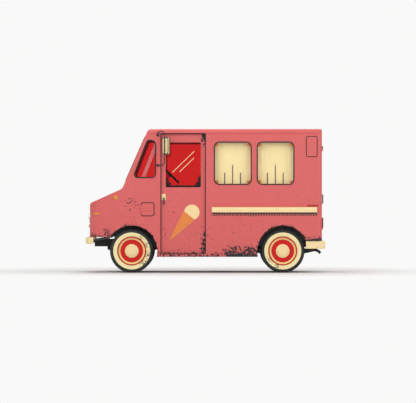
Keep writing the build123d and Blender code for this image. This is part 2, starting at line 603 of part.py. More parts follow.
def side_fittings(cab):
    """The rub rails, vent hatches and fuel flap, and the left cab side with the flap's pocket."""
    rail_edge = RAIL_DEPTH / 3
    section = outline(
        [
            (HALF_WIDTH, RAIL_LOW_Z, 0),
            (HALF_WIDTH + RAIL_DEPTH, RAIL_LOW_Z, rail_edge),
            (HALF_WIDTH + RAIL_DEPTH, RAIL_HIGH_Z, rail_edge),
            (HALF_WIDTH, RAIL_HIGH_Z, 0),
        ]
    )
    rail = lengthwise(section, RAIL_REAR_X, RAIL_FRONT_X)
    hatch_floor = HALF_WIDTH - FLAP_THICKNESS
    hatch = across(rounded(*HATCH, inset=GLASS_GAP), hatch_floor, HALF_WIDTH + HATCH_PROUD)
    hatch = chamfer(hatch.faces().sort_by(Axis.Y)[-1].edges(), HATCH_PROUD / 2)

    rear_x, front_x, low_z, high_z, radius = FLAP
    pocket_floor = HALF_WIDTH - FLAP_THICKNESS - FLAP_GAP
    pocket = across(rounded(*FLAP), pocket_floor, 2 * HALF_WIDTH)
    pin_x, pin_y = front_x, HALF_WIDTH + FLAP_BARREL_RADIUS
    pin = FLAP_PIN_RADIUS
    middle_z = (low_z + high_z) / 2
    low, high = middle_z - (high_z - low_z) / 4, middle_z + (high_z - low_z) / 4
    flap = across(rounded(*FLAP, inset=FLAP_GAP), HALF_WIDTH - FLAP_THICKNESS, HALF_WIDTH)
    flap += block(front_x - FLAP_LEAF, front_x, HALF_WIDTH, HALF_WIDTH + FLAP_LEAF_THICKNESS, low, high)
    flap += post(pin_x, pin_y, FLAP_BARREL_RADIUS, low, high)
    flap -= post(pin_x, pin_y, pin + RUNNING_GAP, low_z, high_z)
    left = cab - pocket + post(pin_x, pin_y, pin, low - FLAP_LUG_LENGTH, high + FLAP_LUG_LENGTH)
    for z in (low - FLAP_LUG_LENGTH, high + RUNNING_GAP):
        lug_z = (z, z + FLAP_LUG_LENGTH - RUNNING_GAP)
        left += block(pin_x - pin, pin_x + FLAP_LUG, HALF_WIDTH - ROOF_STEP, pin_y + pin, *lug_z)
    stop_y = HALF_WIDTH - FLAP_THICKNESS - RUNNING_GAP
    left += cross_rod(rear_x + FLAP_STOP, middle_z, FLAP_STOP_RADIUS, pocket_floor, stop_y)
    return {
        "rub_rails": pair(rail),
        "vent_hatches": pair(hatch),
        "fuel_flap": flap,
        "cab_side_left": left,
        "cab_side_right": mirrored(cab),
    }


def nose_fittings(nose):
    """The nose panel with its holes, the grille and the lamps at the front and along the sides."""
    y0, y1, z0, z1, radius = GRILLE
    panel = nose - lengthwise(rounded(*GRILLE), 0, 2 * NOSE_X)
    lamp_hole = long_rod(HEAD_LAMP_Y, HEAD_LAMP_Z, HEAD_LAMP_RADIUS, 0, 2 * NOSE_X)
    panel = panel - lamp_hole - mirrored(lamp_hole)

    ring = rounded(*GRILLE, inset=GLASS_GAP) - rounded(*GRILLE, inset=GRILLE_FRAME)
    grille = lengthwise(ring, NOSE_X - WALL, NOSE_X + GRILLE_PROUD)
    pitch = (z1 - z0) / (GRILLE_BARS + 1)
    for i in range(1, GRILLE_BARS + 1):
        z = z0 + i * pitch
        bar_face = Pos((y0 + y1) / 2, z) * Rectangle(y1 - y0 - GRILLE_FRAME, GRILLE_BAR)
        grille += lengthwise(bar_face, NOSE_X - GRILLE_DEPTH, NOSE_X)

    bowl = long_rod(HEAD_LAMP_Y, HEAD_LAMP_Z, HEAD_LAMP_RADIUS - GLASS_GAP, NOSE_X - WALL, NOSE_X)
    rim_radius = HEAD_LAMP_RADIUS + HEAD_LAMP_RIM
    rim = long_rod(HEAD_LAMP_Y, HEAD_LAMP_Z, rim_radius, NOSE_X, NOSE_X + HEAD_LAMP_RIM)
    rim = chamfer(rim.edges().group_by(Axis.X)[-1], HEAD_LAMP_RIM / 2)
    lens_radius = HEAD_LAMP_RADIUS - HEAD_LAMP_RIM
    bezel = bowl + rim - long_rod(HEAD_LAMP_Y, HEAD_LAMP_Z, lens_radius, NOSE_X - WALL / 2, 2 * NOSE_X)
    lens = lamp_dome(lens_radius - GLASS_GAP, WALL / 2, HEAD_LAMP_RISE)
    lens = Location((NOSE_X - WALL / 2, HEAD_LAMP_Y, HEAD_LAMP_Z), (0, 90, 0)) * lens

    taper = degrees(atan2(HALF_WIDTH - NOSE_HALF_WIDTH, NOSE_X - TAPER_X))
    fender_x, fender_z, *fender_size = FENDER_LAMP
    fender_y = HALF_WIDTH - (fender_x - TAPER_X) * (HALF_WIDTH - NOSE_HALF_WIDTH) / (NOSE_X - TAPER_X)
    out = (sin(radians(taper)), cos(radians(taper)), 0)
    fender_lamp = Plane(origin=(fender_x, fender_y, fender_z), z_dir=out) * lamp_dome(*fender_size)
    turn_z, *turn_size = TURN_LAMP
    turn_lamp = Location((NOSE_X, HEAD_LAMP_Y, turn_z), (0, 90, 0)) * lamp_dome(*turn_size)
    x0, x1, z0, z1 = NOSE_MARKER
    skin = body_volume(-NOSE_MARKER_PROUD, SILL_Z) - body_volume(0, SILL_Z - 4 * WALL)
    marker = skin & block(x0, x1, 0, 2 * HALF_WIDTH, z0, z1)

    x0, x1, z0, z1 = REAR_MARKER
    side_marker = block(x0, x1, HALF_WIDTH, HALF_WIDTH + REAR_MARKER_PROUD, z0, z1)
    tail = block(BODY_REAR_X - TAIL_LAMP_PROUD, BODY_REAR_X, *TAIL_LAMP)
    tail = chamfer(tail.faces().sort_by(Axis.X)[0].edges(), TAIL_LAMP_EDGE)
    return {
        "nose_panel": panel,
        "grille": grille,
        "head_lamp_bezels": pair(bezel),
        "head_lamp_lenses": pair(lens),
        "amber_lamps": pair(group(fender_lamp, turn_lamp, marker)),
        "red_lamps": pair(group(side_marker, tail)),
    }


def lamp_dome(radius, depth, rise):
    """A round lamp: a short drum with a coned lens, along +Z from its back."""
    top = depth + rise
    section = Polygon((0, 0), (radius, 0), (radius, depth), (radius / 2, top), (0, top), align=None)
    return revolve(Plane.XZ * section, Axis.Z)


def bumper(end_x, half_width, low_z, high_z, tip_x, corner_radius):
    """A bar that wraps round the end of the truck, with its long edges bevelled."""
    points = [(end_x, -half_width, 0), (tip_x, -half_width, corner_radius)]
    points += [(tip_x, half_width, corner_radius), (end_x, half_width, 0)]
    inner_end = end_x - BUMPER_BAR if tip_x > end_x else end_x + BUMPER_BAR
    inner = [(inner_end, -half_width, 0), *points[1:3], (inner_end, half_width, 0)]
    if tip_x < end_x:
        points, inner = points[::-1], inner[::-1]
    face = outline(points) - outline(inner, BUMPER_BAR)
    bar = upward(face, low_z, high_z)
    outside = bar.faces().filter_by(Axis.X).sort_by(Axis.X)[-1 if tip_x > end_x else 0]
    return chamfer(outside.edges().filter_by(Axis.Y), BUMPER_EDGE)


def bumpers():
    """Both bumpers with the brackets that carry them and the plate holes."""
    bracket_y = (RAIL_OUTER_Y - RAIL_WIDTH + FRAME_WALL, RAIL_OUTER_Y - FRAME_WALL)
    end_x, half, low, high = FRONT_BUMPER
    front = bumper(end_x, half, low, high, BUMPER_END_X, FRONT_BUMPER_RADIUS)
    front_lift, rear_lift = BRACKET_LIFTS
    arm_z = [low + lift for lift in front_lift]
    arm = block(FRAME_FRONT_X - BRACKET_LAP, BUMPER_END_X - BUMPER_BAR / 2, *bracket_y, *arm_z)
    stay_face = Polygon(*[(NOSE_X + x, z) for x, z in STAY], align=None)
    stay = across(stay_face, half - STAY_WIDTH, half)
    front = front + arm + mirrored(arm)
    front = front + stay + mirrored(stay)

    end_x, half, low, high = REAR_BUMPER
    rear = bumper(end_x, half, low, high, -BUMPER_END_X, REAR_BUMPER_RADIUS)
    arm_z = [low + lift for lift in rear_lift]
    arm = block(-BUMPER_END_X + BUMPER_BAR / 2, FRAME_REAR_X + BRACKET_LAP, *bracket_y, *arm_z)
    rear = rear + arm + mirrored(arm)
    for y in (-PLATE_HOLE_SPACING / 2, PLATE_HOLE_SPACING / 2):
        middle = (FRONT_BUMPER[2] + FRONT_BUMPER[3]) / 2
        front -= long_rod(y, middle, PLATE_HOLE_RADIUS, 0, 2 * NOSE_X)
        middle = (REAR_BUMPER[2] + REAR_BUMPER[3]) / 2
        rear -= long_rod(y, middle, PLATE_HOLE_RADIUS, 2 * BODY_REAR_X, 0)
    return {"front_bumper": front, "rear_bumper": rear}


def mirror_face(inset):
    """The mirror head's outline with its corners cut, drawn in by inset."""
    width, height, _, corner = MIRROR_HEAD
    face = Rectangle(width - 2 * inset, height - 2 * inset)
    return chamfer(face.vertices(), corner - inset)


def mirrors():
    """Two mirrors, each a bent rod with feet on the cab side, a shell and its glass."""
    rod = tube(
        [
            (MIRROR_FOOT_X, HALF_WIDTH + MIRROR_FOOT, MIRROR_FOOT_TOP_Z),
            (MIRROR_FOOT_X, MIRROR_ROD_Y - MIRROR_BEND, MIRROR_TOP_Z),
            (MIRROR_ROD_X, MIRROR_ROD_Y, MIRROR_TOP_Z),
            (MIRROR_ROD_X, MIRROR_ROD_Y, MIRROR_LOW_Z),
            (MIRROR_FOOT_X, HALF_WIDTH + MIRROR_FOOT, MIRROR_LOW_Z),
        ],
        [MIRROR_BEND] * 3,
        MIRROR_ROD_RADIUS,
    )
    for z in (MIRROR_FOOT_TOP_Z, MIRROR_LOW_Z):
        rod += cross_rod(MIRROR_FOOT_X, z, MIRROR_FOOT_RADIUS, HALF_WIDTH, HALF_WIDTH + MIRROR_FOOT)
    _, height, depth, _ = MIRROR_HEAD
    back = MIRROR_ROD_RADIUS + MIRROR_CLAMP
    face = Location((MIRROR_ROD_X, MIRROR_ROD_Y, MIRROR_HEAD_Z), (0, 0, MIRROR_TURN))
    shell = extrude(Plane.YZ * mirror_face(0), amount=-depth)
    shell = Pos(-back, 0, 0) * chamfer(shell.faces().sort_by(Axis.X)[-1].edges(), MIRROR_EDGE)
    place = Pos(-back - depth, 0, 0)
    shell -= place * extrude(Plane.YZ * mirror_face(MIRROR_RIM), amount=MIRROR_RECESS)
    glass = place * extrude(Plane.YZ * mirror_face(MIRROR_RIM + GLASS_GAP), amount=MIRROR_RECESS)
    for z in (-height / 4, height / 4):
        clamp = Pos(-back / 2, 0, z) * Box(back, 2 * MIRROR_ROD_RADIUS, MIRROR_CLAMP_HEIGHT)
        rod += face * clamp
    return {
        "mirror_arms": pair(rod),
        "mirror_heads": pair(face * group(shell, glass)),
    }


def curtains():
    """A drawn curtain inside each side window, hung from a rail board under the roof."""
    cloth, rails = [], []
    half = CURTAIN_THICKNESS / 2
    for rear_x, front_x, _, _, _ in SIDE_WINDOWS:
        place = (rear_x - CURTAIN_LAP, front_x + CURTAIN_LAP, CURTAIN_Y - half, CURTAIN_Y + half)
        cloth.append(block(*place, CURTAIN_LOW_Z, CURTAIN_TOP_Z))
        rails.append(block(*place, CURTAIN_TOP_Z, ROOF_Z - WALL))
    return {"curtains": pair(group(*cloth)), "curtain_rails": pair(group(*rails))}


def floor_pan():
    """The floor with its load mat, step wells and the pockets the doors slide in, and the wheelhouses."""
    floor = block(FLOOR_REAR_X, FIREWALL_X, -INNER_HALF, INNER_HALF, FRAME_TOP_Z, FLOOR_TOP_Z)
    opening = block(ENGINE_OPENING_X, FIREWALL_X, -ENGINE_OPENING_HALF, ENGINE_OPENING_HALF, 0, ROOF_Z)
    floor -= opening
    end_gap = DOOR_LAP + DOOR_CLEARANCE
    pocket_x = (DOOR_REAR_X - DOOR_TRAVEL - 2 * end_gap, DOOR_FRONT_X + end_gap)
    wall = STEP_WALL
    x0, x1 = DOOR_REAR_X, DOOR_FRONT_X
    riser_y = STEP_INNER_Y - wall
    track_low = DOOR_BOTTOM_Z - DOOR_LAP_BELOW - DOOR_CLEARANCE - TRACK_DEPTH
    inner = body_volume(WALL, 0)
    floor &= inner
    mat_rear_x, mat_front_x, mat_half, mat = LOAD_MAT
    floor += block(mat_rear_x, mat_front_x, -mat_half, mat_half, FLOOR_TOP_Z, FLOOR_TOP_Z + mat)
    houses = []
    for side in (1, -1):
        cuts = [
            block(*pocket_x, *sorted((side * POCKET_Y, side * HALF_WIDTH)), 0, ROOF_Z),
            block(x0, x1, *sorted((side * riser_y, side * HALF_WIDTH)), 0, ROOF_Z),
        ]
        for cut in cuts:
            floor -= cut
        well = block(x0 - wall, x1 + wall, riser_y, POCKET_Y, track_low - wall, FLOOR_TOP_Z)
        well -= block(x0, x1, STEP_INNER_Y, HALF_WIDTH, track_low, ROOF_Z)
        well += block(x0, x1, STEP_INNER_Y, INNER_HALF, track_low - wall, track_low)
        well += block(x0, x1, INNER_HALF, HALF_WIDTH, SILL_Z, DOOR_BOTTOM_Z)
        floor += well if side > 0 else mirrored(well)
        for axle_x, wall_y, skirt_z in WHEELHOUSES:
            outer_x = sorted((axle_x, copysign(2 * NOSE_X, axle_x)))
            floor -= cross_rod(axle_x, WHEEL_Z, ARCH_RADIUS + ARCH_LINER, side * wall_y, side * HALF_WIDTH)
            house = cross_rod(axle_x, WHEEL_Z, ARCH_RADIUS + ARCH_LINER, wall_y, HALF_WIDTH)
            house -= cross_rod(axle_x, WHEEL_Z, ARCH_RADIUS, wall_y + ARCH_LINER, 2 * HALF_WIDTH)
            house -= block(-2 * NOSE_X, 2 * NOSE_X, 0, 2 * HALF_WIDTH, BELOW_ALL, FRAME_LOW_Z)
            house -= block(*outer_x, 0, 2 * HALF_WIDTH, BELOW_ALL, skirt_z)
            house &= inner
            houses.append(house if side > 0 else mirrored(house))
    return {"floor_pan": floor, "wheelhouses": group(*houses)}


def chassis():
    """A ladder frame: two channels joined by cross members."""
    rail_y = (RAIL_OUTER_Y - RAIL_WIDTH, RAIL_OUTER_Y)
    rail = block(FRAME_REAR_X, FRAME_FRONT_X, *rail_y, FRAME_LOW_Z, FRAME_TOP_Z)
    hollow_z = (FRAME_LOW_Z + FRAME_WALL, FRAME_TOP_Z - FRAME_WALL)
    rail -= block(2 * BODY_REAR_X, 2 * NOSE_X, 0, RAIL_OUTER_Y - FRAME_WALL, *hollow_z)
    frame = rail + mirrored(rail)
    reach = RAIL_OUTER_Y - FRAME_WALL
    for x in CROSS_MEMBERS_X:
        member = block(x - RAIL_WIDTH / 2, x + RAIL_WIDTH / 2, -reach, reach, CROSS_MEMBER_Z, hollow_z[1])
        member -= block(
            x - RAIL_WIDTH / 2 + FRAME_WALL, 2 * NOSE_X, -ENGINE_OPENING_HALF, ENGINE_OPENING_HALF,
            CROSS_MEMBER_Z + FRAME_WALL, hollow_z[1] - FRAME_WALL,
        )
        frame += member
    return frame


def leaf_spring(axle_x, centre_z, end_z, half_length, thickness):
    """A bowed spring with the hangers that hold its ends under the rail."""
    inner_y, outer_y = RAIL_OUTER_Y - RAIL_WIDTH, RAIL_OUTER_Y
    arcs = []
    for lift in (0, thickness):
        ends = [(axle_x - half_length, end_z + lift), (axle_x + half_length, end_z + lift)]
        arcs.append(ThreePointArc(ends[0], (axle_x, centre_z + lift), ends[1]))
    sides = [Line(arcs[0] @ t, arcs[1] @ t) for t in (0, 1)]
    spring = across(make_face([*arcs, *sides]), inner_y, outer_y)
    for x in (axle_x - half_length + HANGER / 2, axle_x + half_length - HANGER / 2):
        spring += block(x - HANGER / 2, x + HANGER / 2, inner_y, outer_y, end_z, FRAME_LOW_Z)
    return spring


def hub_end(axle_x):
    """A brake backing plate and the spindle that the wheel turns on, on the left side."""
    plate = cross_rod(axle_x, WHEEL_Z, BACKING_RADIUS, BACKING_Y, BACKING_Y + BACKING_PLATE)
    return plate + cross_rod(axle_x, WHEEL_Z, SPINDLE_RADIUS, BACKING_Y, SPINDLE_END_Y)


def axles():
    """The front beam and the rear axle, each with its springs."""
    x = FRONT_AXLE_X
    half = BEAM_WIDTH / 2
    beam = block(x - half, x + half, -BEAM_FLAT_HALF, BEAM_FLAT_HALF, BEAM_LOW_Z, BEAM_LOW_Z + BEAM_HEIGHT)
    rise = [
        (BEAM_FLAT_HALF, BEAM_LOW_Z),
        (BEAM_FLAT_HALF + BEAM_KNEE_LOW, WHEEL_Z - BEAM_HEIGHT / 2),
        (KINGPIN_Y, WHEEL_Z - BEAM_HEIGHT / 2),
        (KINGPIN_Y, WHEEL_Z + BEAM_HEIGHT / 2),
        (BEAM_FLAT_HALF + BEAM_KNEE_HIGH, WHEEL_Z + BEAM_HEIGHT / 2),
        (BEAM_FLAT_HALF - BEAM_LAP, BEAM_LOW_Z + BEAM_HEIGHT),
        (BEAM_FLAT_HALF - BEAM_LAP, BEAM_LOW_Z),
    ]
    end = lengthwise(Polygon(*rise, align=None), x - half, x + half)
    end += post(x, KINGPIN_Y, BOSS_RADIUS, WHEEL_Z - BOSS_HALF_HEIGHT, WHEEL_Z + BOSS_HALF_HEIGHT)
    end -= post(x, KINGPIN_Y, KINGPIN_RADIUS + RUNNING_GAP, 0, ROOF_Z)
    spring = leaf_spring(x, BEAM_LOW_Z + BEAM_HEIGHT, SPRING_END_Z, FRONT_SPRING_HALF, SPRING_THICKNESS)
    seat = block(
        x - half - HANGER / 2, x + half + HANGER / 2, RAIL_OUTER_Y - RAIL_WIDTH, RAIL_OUTER_Y,
        BEAM_LOW_Z + BEAM_HEIGHT / 2, BEAM_LOW_Z + BEAM_HEIGHT + SPRING_THICKNESS / 2,
    )
    front = beam
    for piece in (end, spring, seat):
        front = front + piece + mirrored(piece)

    x = REAR_AXLE_X
    rear = cross_rod(x, WHEEL_Z, AXLE_TUBE_RADIUS, -BACKING_Y, BACKING_Y)
    bowl = cross_rod(x, WHEEL_Z, DIFFERENTIAL_RADIUS, -DIFFERENTIAL_HALF, DIFFERENTIAL_HALF)
    rear += chamfer(bowl.edges().filter_by(GeomType.CIRCLE), DIFFERENTIAL_EDGE)
    pinion = (-PINION_HALF, PINION_HALF, WHEEL_Z - PINION_HALF, WHEEL_Z + PINION_HALF)
    rear += block(x, x + PINION_LENGTH, *pinion)
    centre_z = WHEEL_Z - AXLE_TUBE_RADIUS - SPRING_THICKNESS
    spring = leaf_spring(x, centre_z, SPRING_END_Z - SPRING_THICKNESS, REAR_SPRING_HALF, SPRING_THICKNESS)
    seat = block(
        x - AXLE_TUBE_RADIUS, x + AXLE_TUBE_RADIUS, RAIL_OUTER_Y - RAIL_WIDTH, RAIL_OUTER_Y,
        centre_z + SPRING_THICKNESS / 2, WHEEL_Z,
    )
    for piece in (spring, seat, hub_end(x)):
        rear = rear + piece + mirrored(piece)
    return {"front_axle": front, "rear_axle": rear}


def knuckle():
    """The left steering knuckle: two ears round the axle's boss, the kingpin, the spindle and the arm."""
    x, y = FRONT_AXLE_X, KINGPIN_Y
    knuckle = hub_end(x)
    top = WHEEL_Z + BOSS_HALF_HEIGHT + EAR_GAP
    bottom = WHEEL_Z - BOSS_HALF_HEIGHT - EAR_GAP
    for low in (top, bottom - EAR):
        knuckle += post(x, y, BOSS_RADIUS, low, low + EAR)
        knuckle += block(x - BOSS_RADIUS, x + BOSS_RADIUS, y, BACKING_Y, low, low + EAR)
    web_y = y + BOSS_RADIUS + DOOR_CLEARANCE
    knuckle += block(x - BOSS_RADIUS, x + BOSS_RADIUS, web_y, BACKING_Y, bottom - EAR, top + EAR)
    knuckle += post(x, y, KINGPIN_RADIUS, bottom - EAR, top + EAR)
    arm_z = (bottom - EAR, bottom - EAR + ARM_THICKNESS)
    knuckle += block(x - STEER_ARM, x, y - ARM_WIDTH / 2, y + ARM_WIDTH / 2, *arm_z)
    knuckle += post(x - STEER_ARM, y, ARM_WIDTH / 2, *arm_z)
    knuckle += post(x - STEER_ARM, y, STUD_RADIUS, TIE_ROD_Z - TIE_ROD_EYE_HALF, arm_z[0])
    return knuckle


def tie_rod():
    """The rod between the two steering arms, with an eye on each stud."""
    x, y = FRONT_AXLE_X - STEER_ARM, KINGPIN_Y
    rod = cross_rod(x, TIE_ROD_Z, TIE_ROD_RADIUS, -y, y)
    for end in (-y, y):
        rod += post(x, end, TIE_ROD_EYE_RADIUS, TIE_ROD_Z - TIE_ROD_EYE_HALF, TIE_ROD_Z + TIE_ROD_EYE_HALF)
        rod -= post(x, end, STUD_RADIUS + RUNNING_GAP, 0, ROOF_Z)
    return rod


def rim():
    """A steel wheel about Z with its brake drum, hub and coned cap; the outer face is up."""
    half = RIM_WIDTH / 2
    barrel = BEAD_RADIUS - RIM_WALL
    bore = SPINDLE_RADIUS + RUNNING_GAP
    bore_end = SPINDLE_END_Y - WHEEL_Y + SPINDLE_END_GAP
    disc_back = DISC_OFFSET - DISC_DISH
    face = DISC_OFFSET + RIM_WALL
    cap = face + HUB_CAP_DEPTH
    section = Polygon(
        (bore, -DRUM_DEPTH),
        (DRUM_RADIUS, -DRUM_DEPTH),
        (DRUM_RADIUS, disc_back),
        (barrel, disc_back),
        (barrel, -half),
        (RIM_RADIUS, -half),
        (BEAD_RADIUS, -half + 2 * FLANGE),
        (BEAD_RADIUS, half - 2 * FLANGE),
        (RIM_RADIUS, half),
        (barrel, half),
        (barrel, disc_back + RIM_WALL),
        (DISC_OUTER_RADIUS, face),
        (HUB_CAP_RADIUS, face),
        (HUB_CAP_RADIUS, cap),
        (HUB_CAP_TOP_RADIUS, cap + HUB_CAP_RISE),
        (0, cap + HUB_CAP_RISE),
        (0, bore_end),
        (bore, bore_end),
        align=None,
    )
    return revolve(Plane.XZ * section, Axis.Z)


def tyre():
    """A tyre about Z, solid inside, seated on the rim's beads."""
    half = TYRE_WIDTH / 2
    bead = RIM_WIDTH / 2 - 2 * FLANGE
    depth = TYRE_RADIUS - BEAD_RADIUS
    upper = [(TYRE_RADIUS - depth * drop, bead + (half - bead) * out) for drop, out in TYRE_SECTION]
    lower = [(radius, -place) for radius, place in reversed(upper)]
    return revolve(Plane.XZ * Polygon(*lower, *upper, align=None), Axis.Z)


def wheels():
    """Four wheels, each a rim and a tyre on its own axle end."""
    nodes = {}
    for end, axle_x in (("front", FRONT_AXLE_X), ("rear", REAR_AXLE_X)):
        for side, sign in (("left", 1), ("right", -1)):
            place = Location((axle_x, sign * WHEEL_Y, WHEEL_Z), (-90 * sign, 0, 0))
            nodes[f"rim_{end}_{side}"] = place * rim()
            nodes[f"tyre_{end}_{side}"] = place * tyre()
    return nodes


def column_plane():
    """The steering wheel's plane: its z points at the driver, up the column."""
    tilt = radians(COLUMN_TILT)
    return Plane(origin=STEERING_CENTRE, x_dir=(0, 1, 0), z_dir=(-sin(tilt), 0, cos(tilt)))


def cab_furniture():
    """The firewall with its dash, engine cover and column, the steering wheel and the driver's seat."""
    half = ENGINE_OPENING_HALF
    wall = block(FIREWALL_X, FIREWALL_X + STEP_WALL, -INNER_HALF, INNER_HALF, FLOOR_TOP_Z, FIREWALL_TOP_Z)
    for axle_x, wall_y, _ in WHEELHOUSES:
        house = cross_rod(axle_x, WHEEL_Z, ARCH_RADIUS + ARCH_LINER, wall_y, HALF_WIDTH)
        wall = wall - house - mirrored(house)
    inner_half, inner_top = half - STEP_WALL, COVER_TOP_Z - STEP_WALL
    wall -= block(FIREWALL_X, 2 * NOSE_X, -inner_half, inner_half, 0, inner_top)
    cover = block(ENGINE_OPENING_X, FIREWALL_X, -half, half, FLOOR_TOP_Z, COVER_TOP_Z)
    cover = fillet(cover.edges().filter_by(Axis.X).group_by(Axis.Z)[-1], 2 * STEP_WALL)
    cover -= block(ENGINE_OPENING_X + STEP_WALL, FIREWALL_X, -inner_half, inner_half, 0, inner_top)
    dash_face = Polygon(*[(FIREWALL_X + x, z) for x, z in DASH], align=None)
    dash = across(dash_face, -INNER_HALF + WALL, INNER_HALF - WALL)

    plane = column_plane()
    column = plane * Pos(0, 0, -COLUMN_START - COLUMN_LENGTH / 2) * Cylinder(COLUMN_RADIUS, COLUMN_LENGTH)
    column &= block(0, FIREWALL_X, 0, HALF_WIDTH, 0, ROOF_Z)
    shaft = plane * Pos(0, 0, -COLUMN_START / 2) * Cylinder(STEERING_SHAFT_RADIUS, COLUMN_START)
    rim_section = RegularPolygon(STEERING_RIM_RADIUS, PIPE_SIDES)
    wheel = revolve(Plane.XZ * Pos(STEERING_RADIUS, 0) * rim_section, Axis.Z)
    wheel += Pos(0, 0, -HUB_RADIUS / 2 + SPOKE_THICKNESS) * Cylinder(HUB_RADIUS, HUB_RADIUS)
    for turn in STEERING_SPOKES:
        spoke = Pos(STEERING_RADIUS / 2, 0, 0) * Box(STEERING_RADIUS, SPOKE_WIDTH, SPOKE_THICKNESS)
        wheel += Rot(0, 0, turn) * spoke
    bore = STEERING_SHAFT_RADIUS + RUNNING_GAP
    wheel -= Pos(0, 0, -COLUMN_START / 2 - RUNNING_GAP) * Cylinder(bore, COLUMN_START + 4 * RUNNING_GAP)
    pads = [block(*SEAT_CUSHION), block(*SEAT_BACK)]
    return {
        "firewall": wall + cover + dash + column + shaft,
        "steering_wheel": plane * wheel,
        "seat_base": block(*SEAT_BASE),
        "seat_pads": pads[0] + pads[1],
    }


def engine():
    """The engine and gearbox as plain blocks, with the drive shaft back to the rear axle."""
    mount = block(*ENGINE_MOUNT)
    motor = block(*ENGINE_BLOCK) + block(*GEARBOX) + mount + mirrored(mount)
    start = Vector(GEARBOX[0], 0, DRIVE_SHAFT_Z)
    end = Vector(REAR_AXLE_X + PINION_LENGTH, 0, WHEEL_Z)
    run = end - start
    length = run.length + 2 * PINION_HALF
    shaft = Plane(origin=(start + end) / 2, z_dir=run) * Cylinder(DRIVE_SHAFT_RADIUS, length)
    shaft &= block(end.X + RUNNING_GAP, start.X, -RAIL_OUTER_Y, RAIL_OUTER_Y, 0, ROOF_Z)
    return motor + shaft


def tank_and_exhaust():
    """The fuel tank on its straps, and the exhaust from the engine to the turned down tip."""
    x0, x1, y0, y1, z0, z1 = FUEL_TANK
    tank = fillet(block(*FUEL_TANK).edges().filter_by(Axis.X), 2 * STEP_WALL)
    for x in (x0 + (x1 - x0) / 4, x1 - (x1 - x0) / 4):
        tank += block(x - STEP_WALL, x + STEP_WALL, y0 + 2 * STEP_WALL, y1 - 2 * STEP_WALL, z1, FRAME_TOP_Z)

    rear_x, front_x, y, z, radius = MUFFLER
    exhaust = long_rod(y, z, radius, rear_x, front_x)
    exhaust = chamfer(exhaust.edges().filter_by(GeomType.CIRCLE), MUFFLER_EDGE)
    for x in (rear_x + 2 * radius, front_x - 2 * radius):
        exhaust += block(x - STEP_WALL, x + STEP_WALL, y - STEP_WALL / 4, y + STEP_WALL / 4, z, FRAME_TOP_Z)
    x0, x1, outer_y, low_z, high_z = MANIFOLD
    exhaust += block(x0, x1, outer_y, ENGINE_BLOCK[2], low_z, high_z)
    middle_x, first_y = (x0 + x1) / 2, HEAD_PIPE[0][1]
    head = [(middle_x, first_y, (low_z + high_z) / 2), (middle_x, first_y, z)]
    head += [(x, run_y, z) for x, run_y in HEAD_PIPE] + [(front_x, y, z)]
    exhaust += tube(head, HEAD_PIPE_BENDS, EXHAUST_RADIUS)
    exhaust += tube([(rear_x, y, z), *TAIL_PIPE, TAIL_TIP], TAIL_PIPE_BENDS, EXHAUST_RADIUS)
    tail_y, tail_z = TAIL_PIPE[-1][1:]
    exhaust += block(*TAIL_HANGER, tail_y - TAIL_HANGER_HALF, tail_y + TAIL_HANGER_HALF, tail_z, FRAME_TOP_Z)
    return {"fuel_tank": tank, "exhaust": exhaust}


def main():
    """Make every node and write it as one file in parts."""
    panels = body_panels()
    nodes = {
        "roof_panel": panels["roof_panel"],
        "windscreen_frame": panels["windscreen_frame"],
        "hood": panels["hood"],
        "body_side_left": panels["side"],
        "body_side_right": mirrored(panels["side"]),
        "chassis": chassis(),
        "knuckle_left": knuckle(),
        "knuckle_right": mirrored(knuckle()),
        "tie_rod": tie_rod(),
        "engine": engine(),
        "freezer": block(*FREEZER),
    }
    nodes |= curtains() | floor_pan()
    nodes |= glazing()
    nodes |= rear_doors(panels["rear"])
    nodes |= sliding_doors()
    nodes |= side_fittings(panels["cab"])
    nodes |= nose_fittings(panels["nose"])
    nodes |= bumpers()
    nodes |= mirrors()
    nodes |= axles()
    nodes |= wheels()
    nodes |= cab_furniture()
    nodes |= tank_and_exhaust()
    os.makedirs("parts", exist_ok=True)
    for name, shape in nodes.items():
        export_step(shape, f"parts/{name}.step")


if __name__ == "__main__":
    main()
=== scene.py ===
"""Dresses the packed ice cream truck: chipped paint, whitewalls, curtains, trim and a plain studio."""
from __future__ import annotations

import json
import logging
import math
from dataclasses import dataclass, field
from enum import Enum
from typing import Any, Sequence

import bmesh
import bpy
from mathutils import Matrix, Vector

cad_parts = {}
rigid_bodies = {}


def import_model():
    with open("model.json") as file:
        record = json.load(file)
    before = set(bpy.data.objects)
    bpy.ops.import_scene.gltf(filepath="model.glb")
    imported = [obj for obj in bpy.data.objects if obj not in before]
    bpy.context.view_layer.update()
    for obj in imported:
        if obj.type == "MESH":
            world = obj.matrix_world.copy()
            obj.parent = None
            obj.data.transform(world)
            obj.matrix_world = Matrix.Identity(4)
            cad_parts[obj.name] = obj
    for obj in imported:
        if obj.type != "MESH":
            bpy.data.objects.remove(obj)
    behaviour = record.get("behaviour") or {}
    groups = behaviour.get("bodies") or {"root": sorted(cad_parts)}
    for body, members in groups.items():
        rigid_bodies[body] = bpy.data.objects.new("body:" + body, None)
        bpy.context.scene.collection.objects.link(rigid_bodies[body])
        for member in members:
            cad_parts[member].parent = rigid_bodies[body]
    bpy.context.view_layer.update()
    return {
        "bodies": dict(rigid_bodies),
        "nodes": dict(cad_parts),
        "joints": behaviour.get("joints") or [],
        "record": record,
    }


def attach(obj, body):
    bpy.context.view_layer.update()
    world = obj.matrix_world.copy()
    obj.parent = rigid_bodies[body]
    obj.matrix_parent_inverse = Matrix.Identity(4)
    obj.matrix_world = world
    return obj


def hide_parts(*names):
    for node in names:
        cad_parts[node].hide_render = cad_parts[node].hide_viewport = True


LOG = logging.getLogger("ice_cream_truck")
Point = tuple[float, float, float]
Box = tuple[Point, Point]
Outline = list[tuple[float, float]]
Colour = tuple[float, float, float]
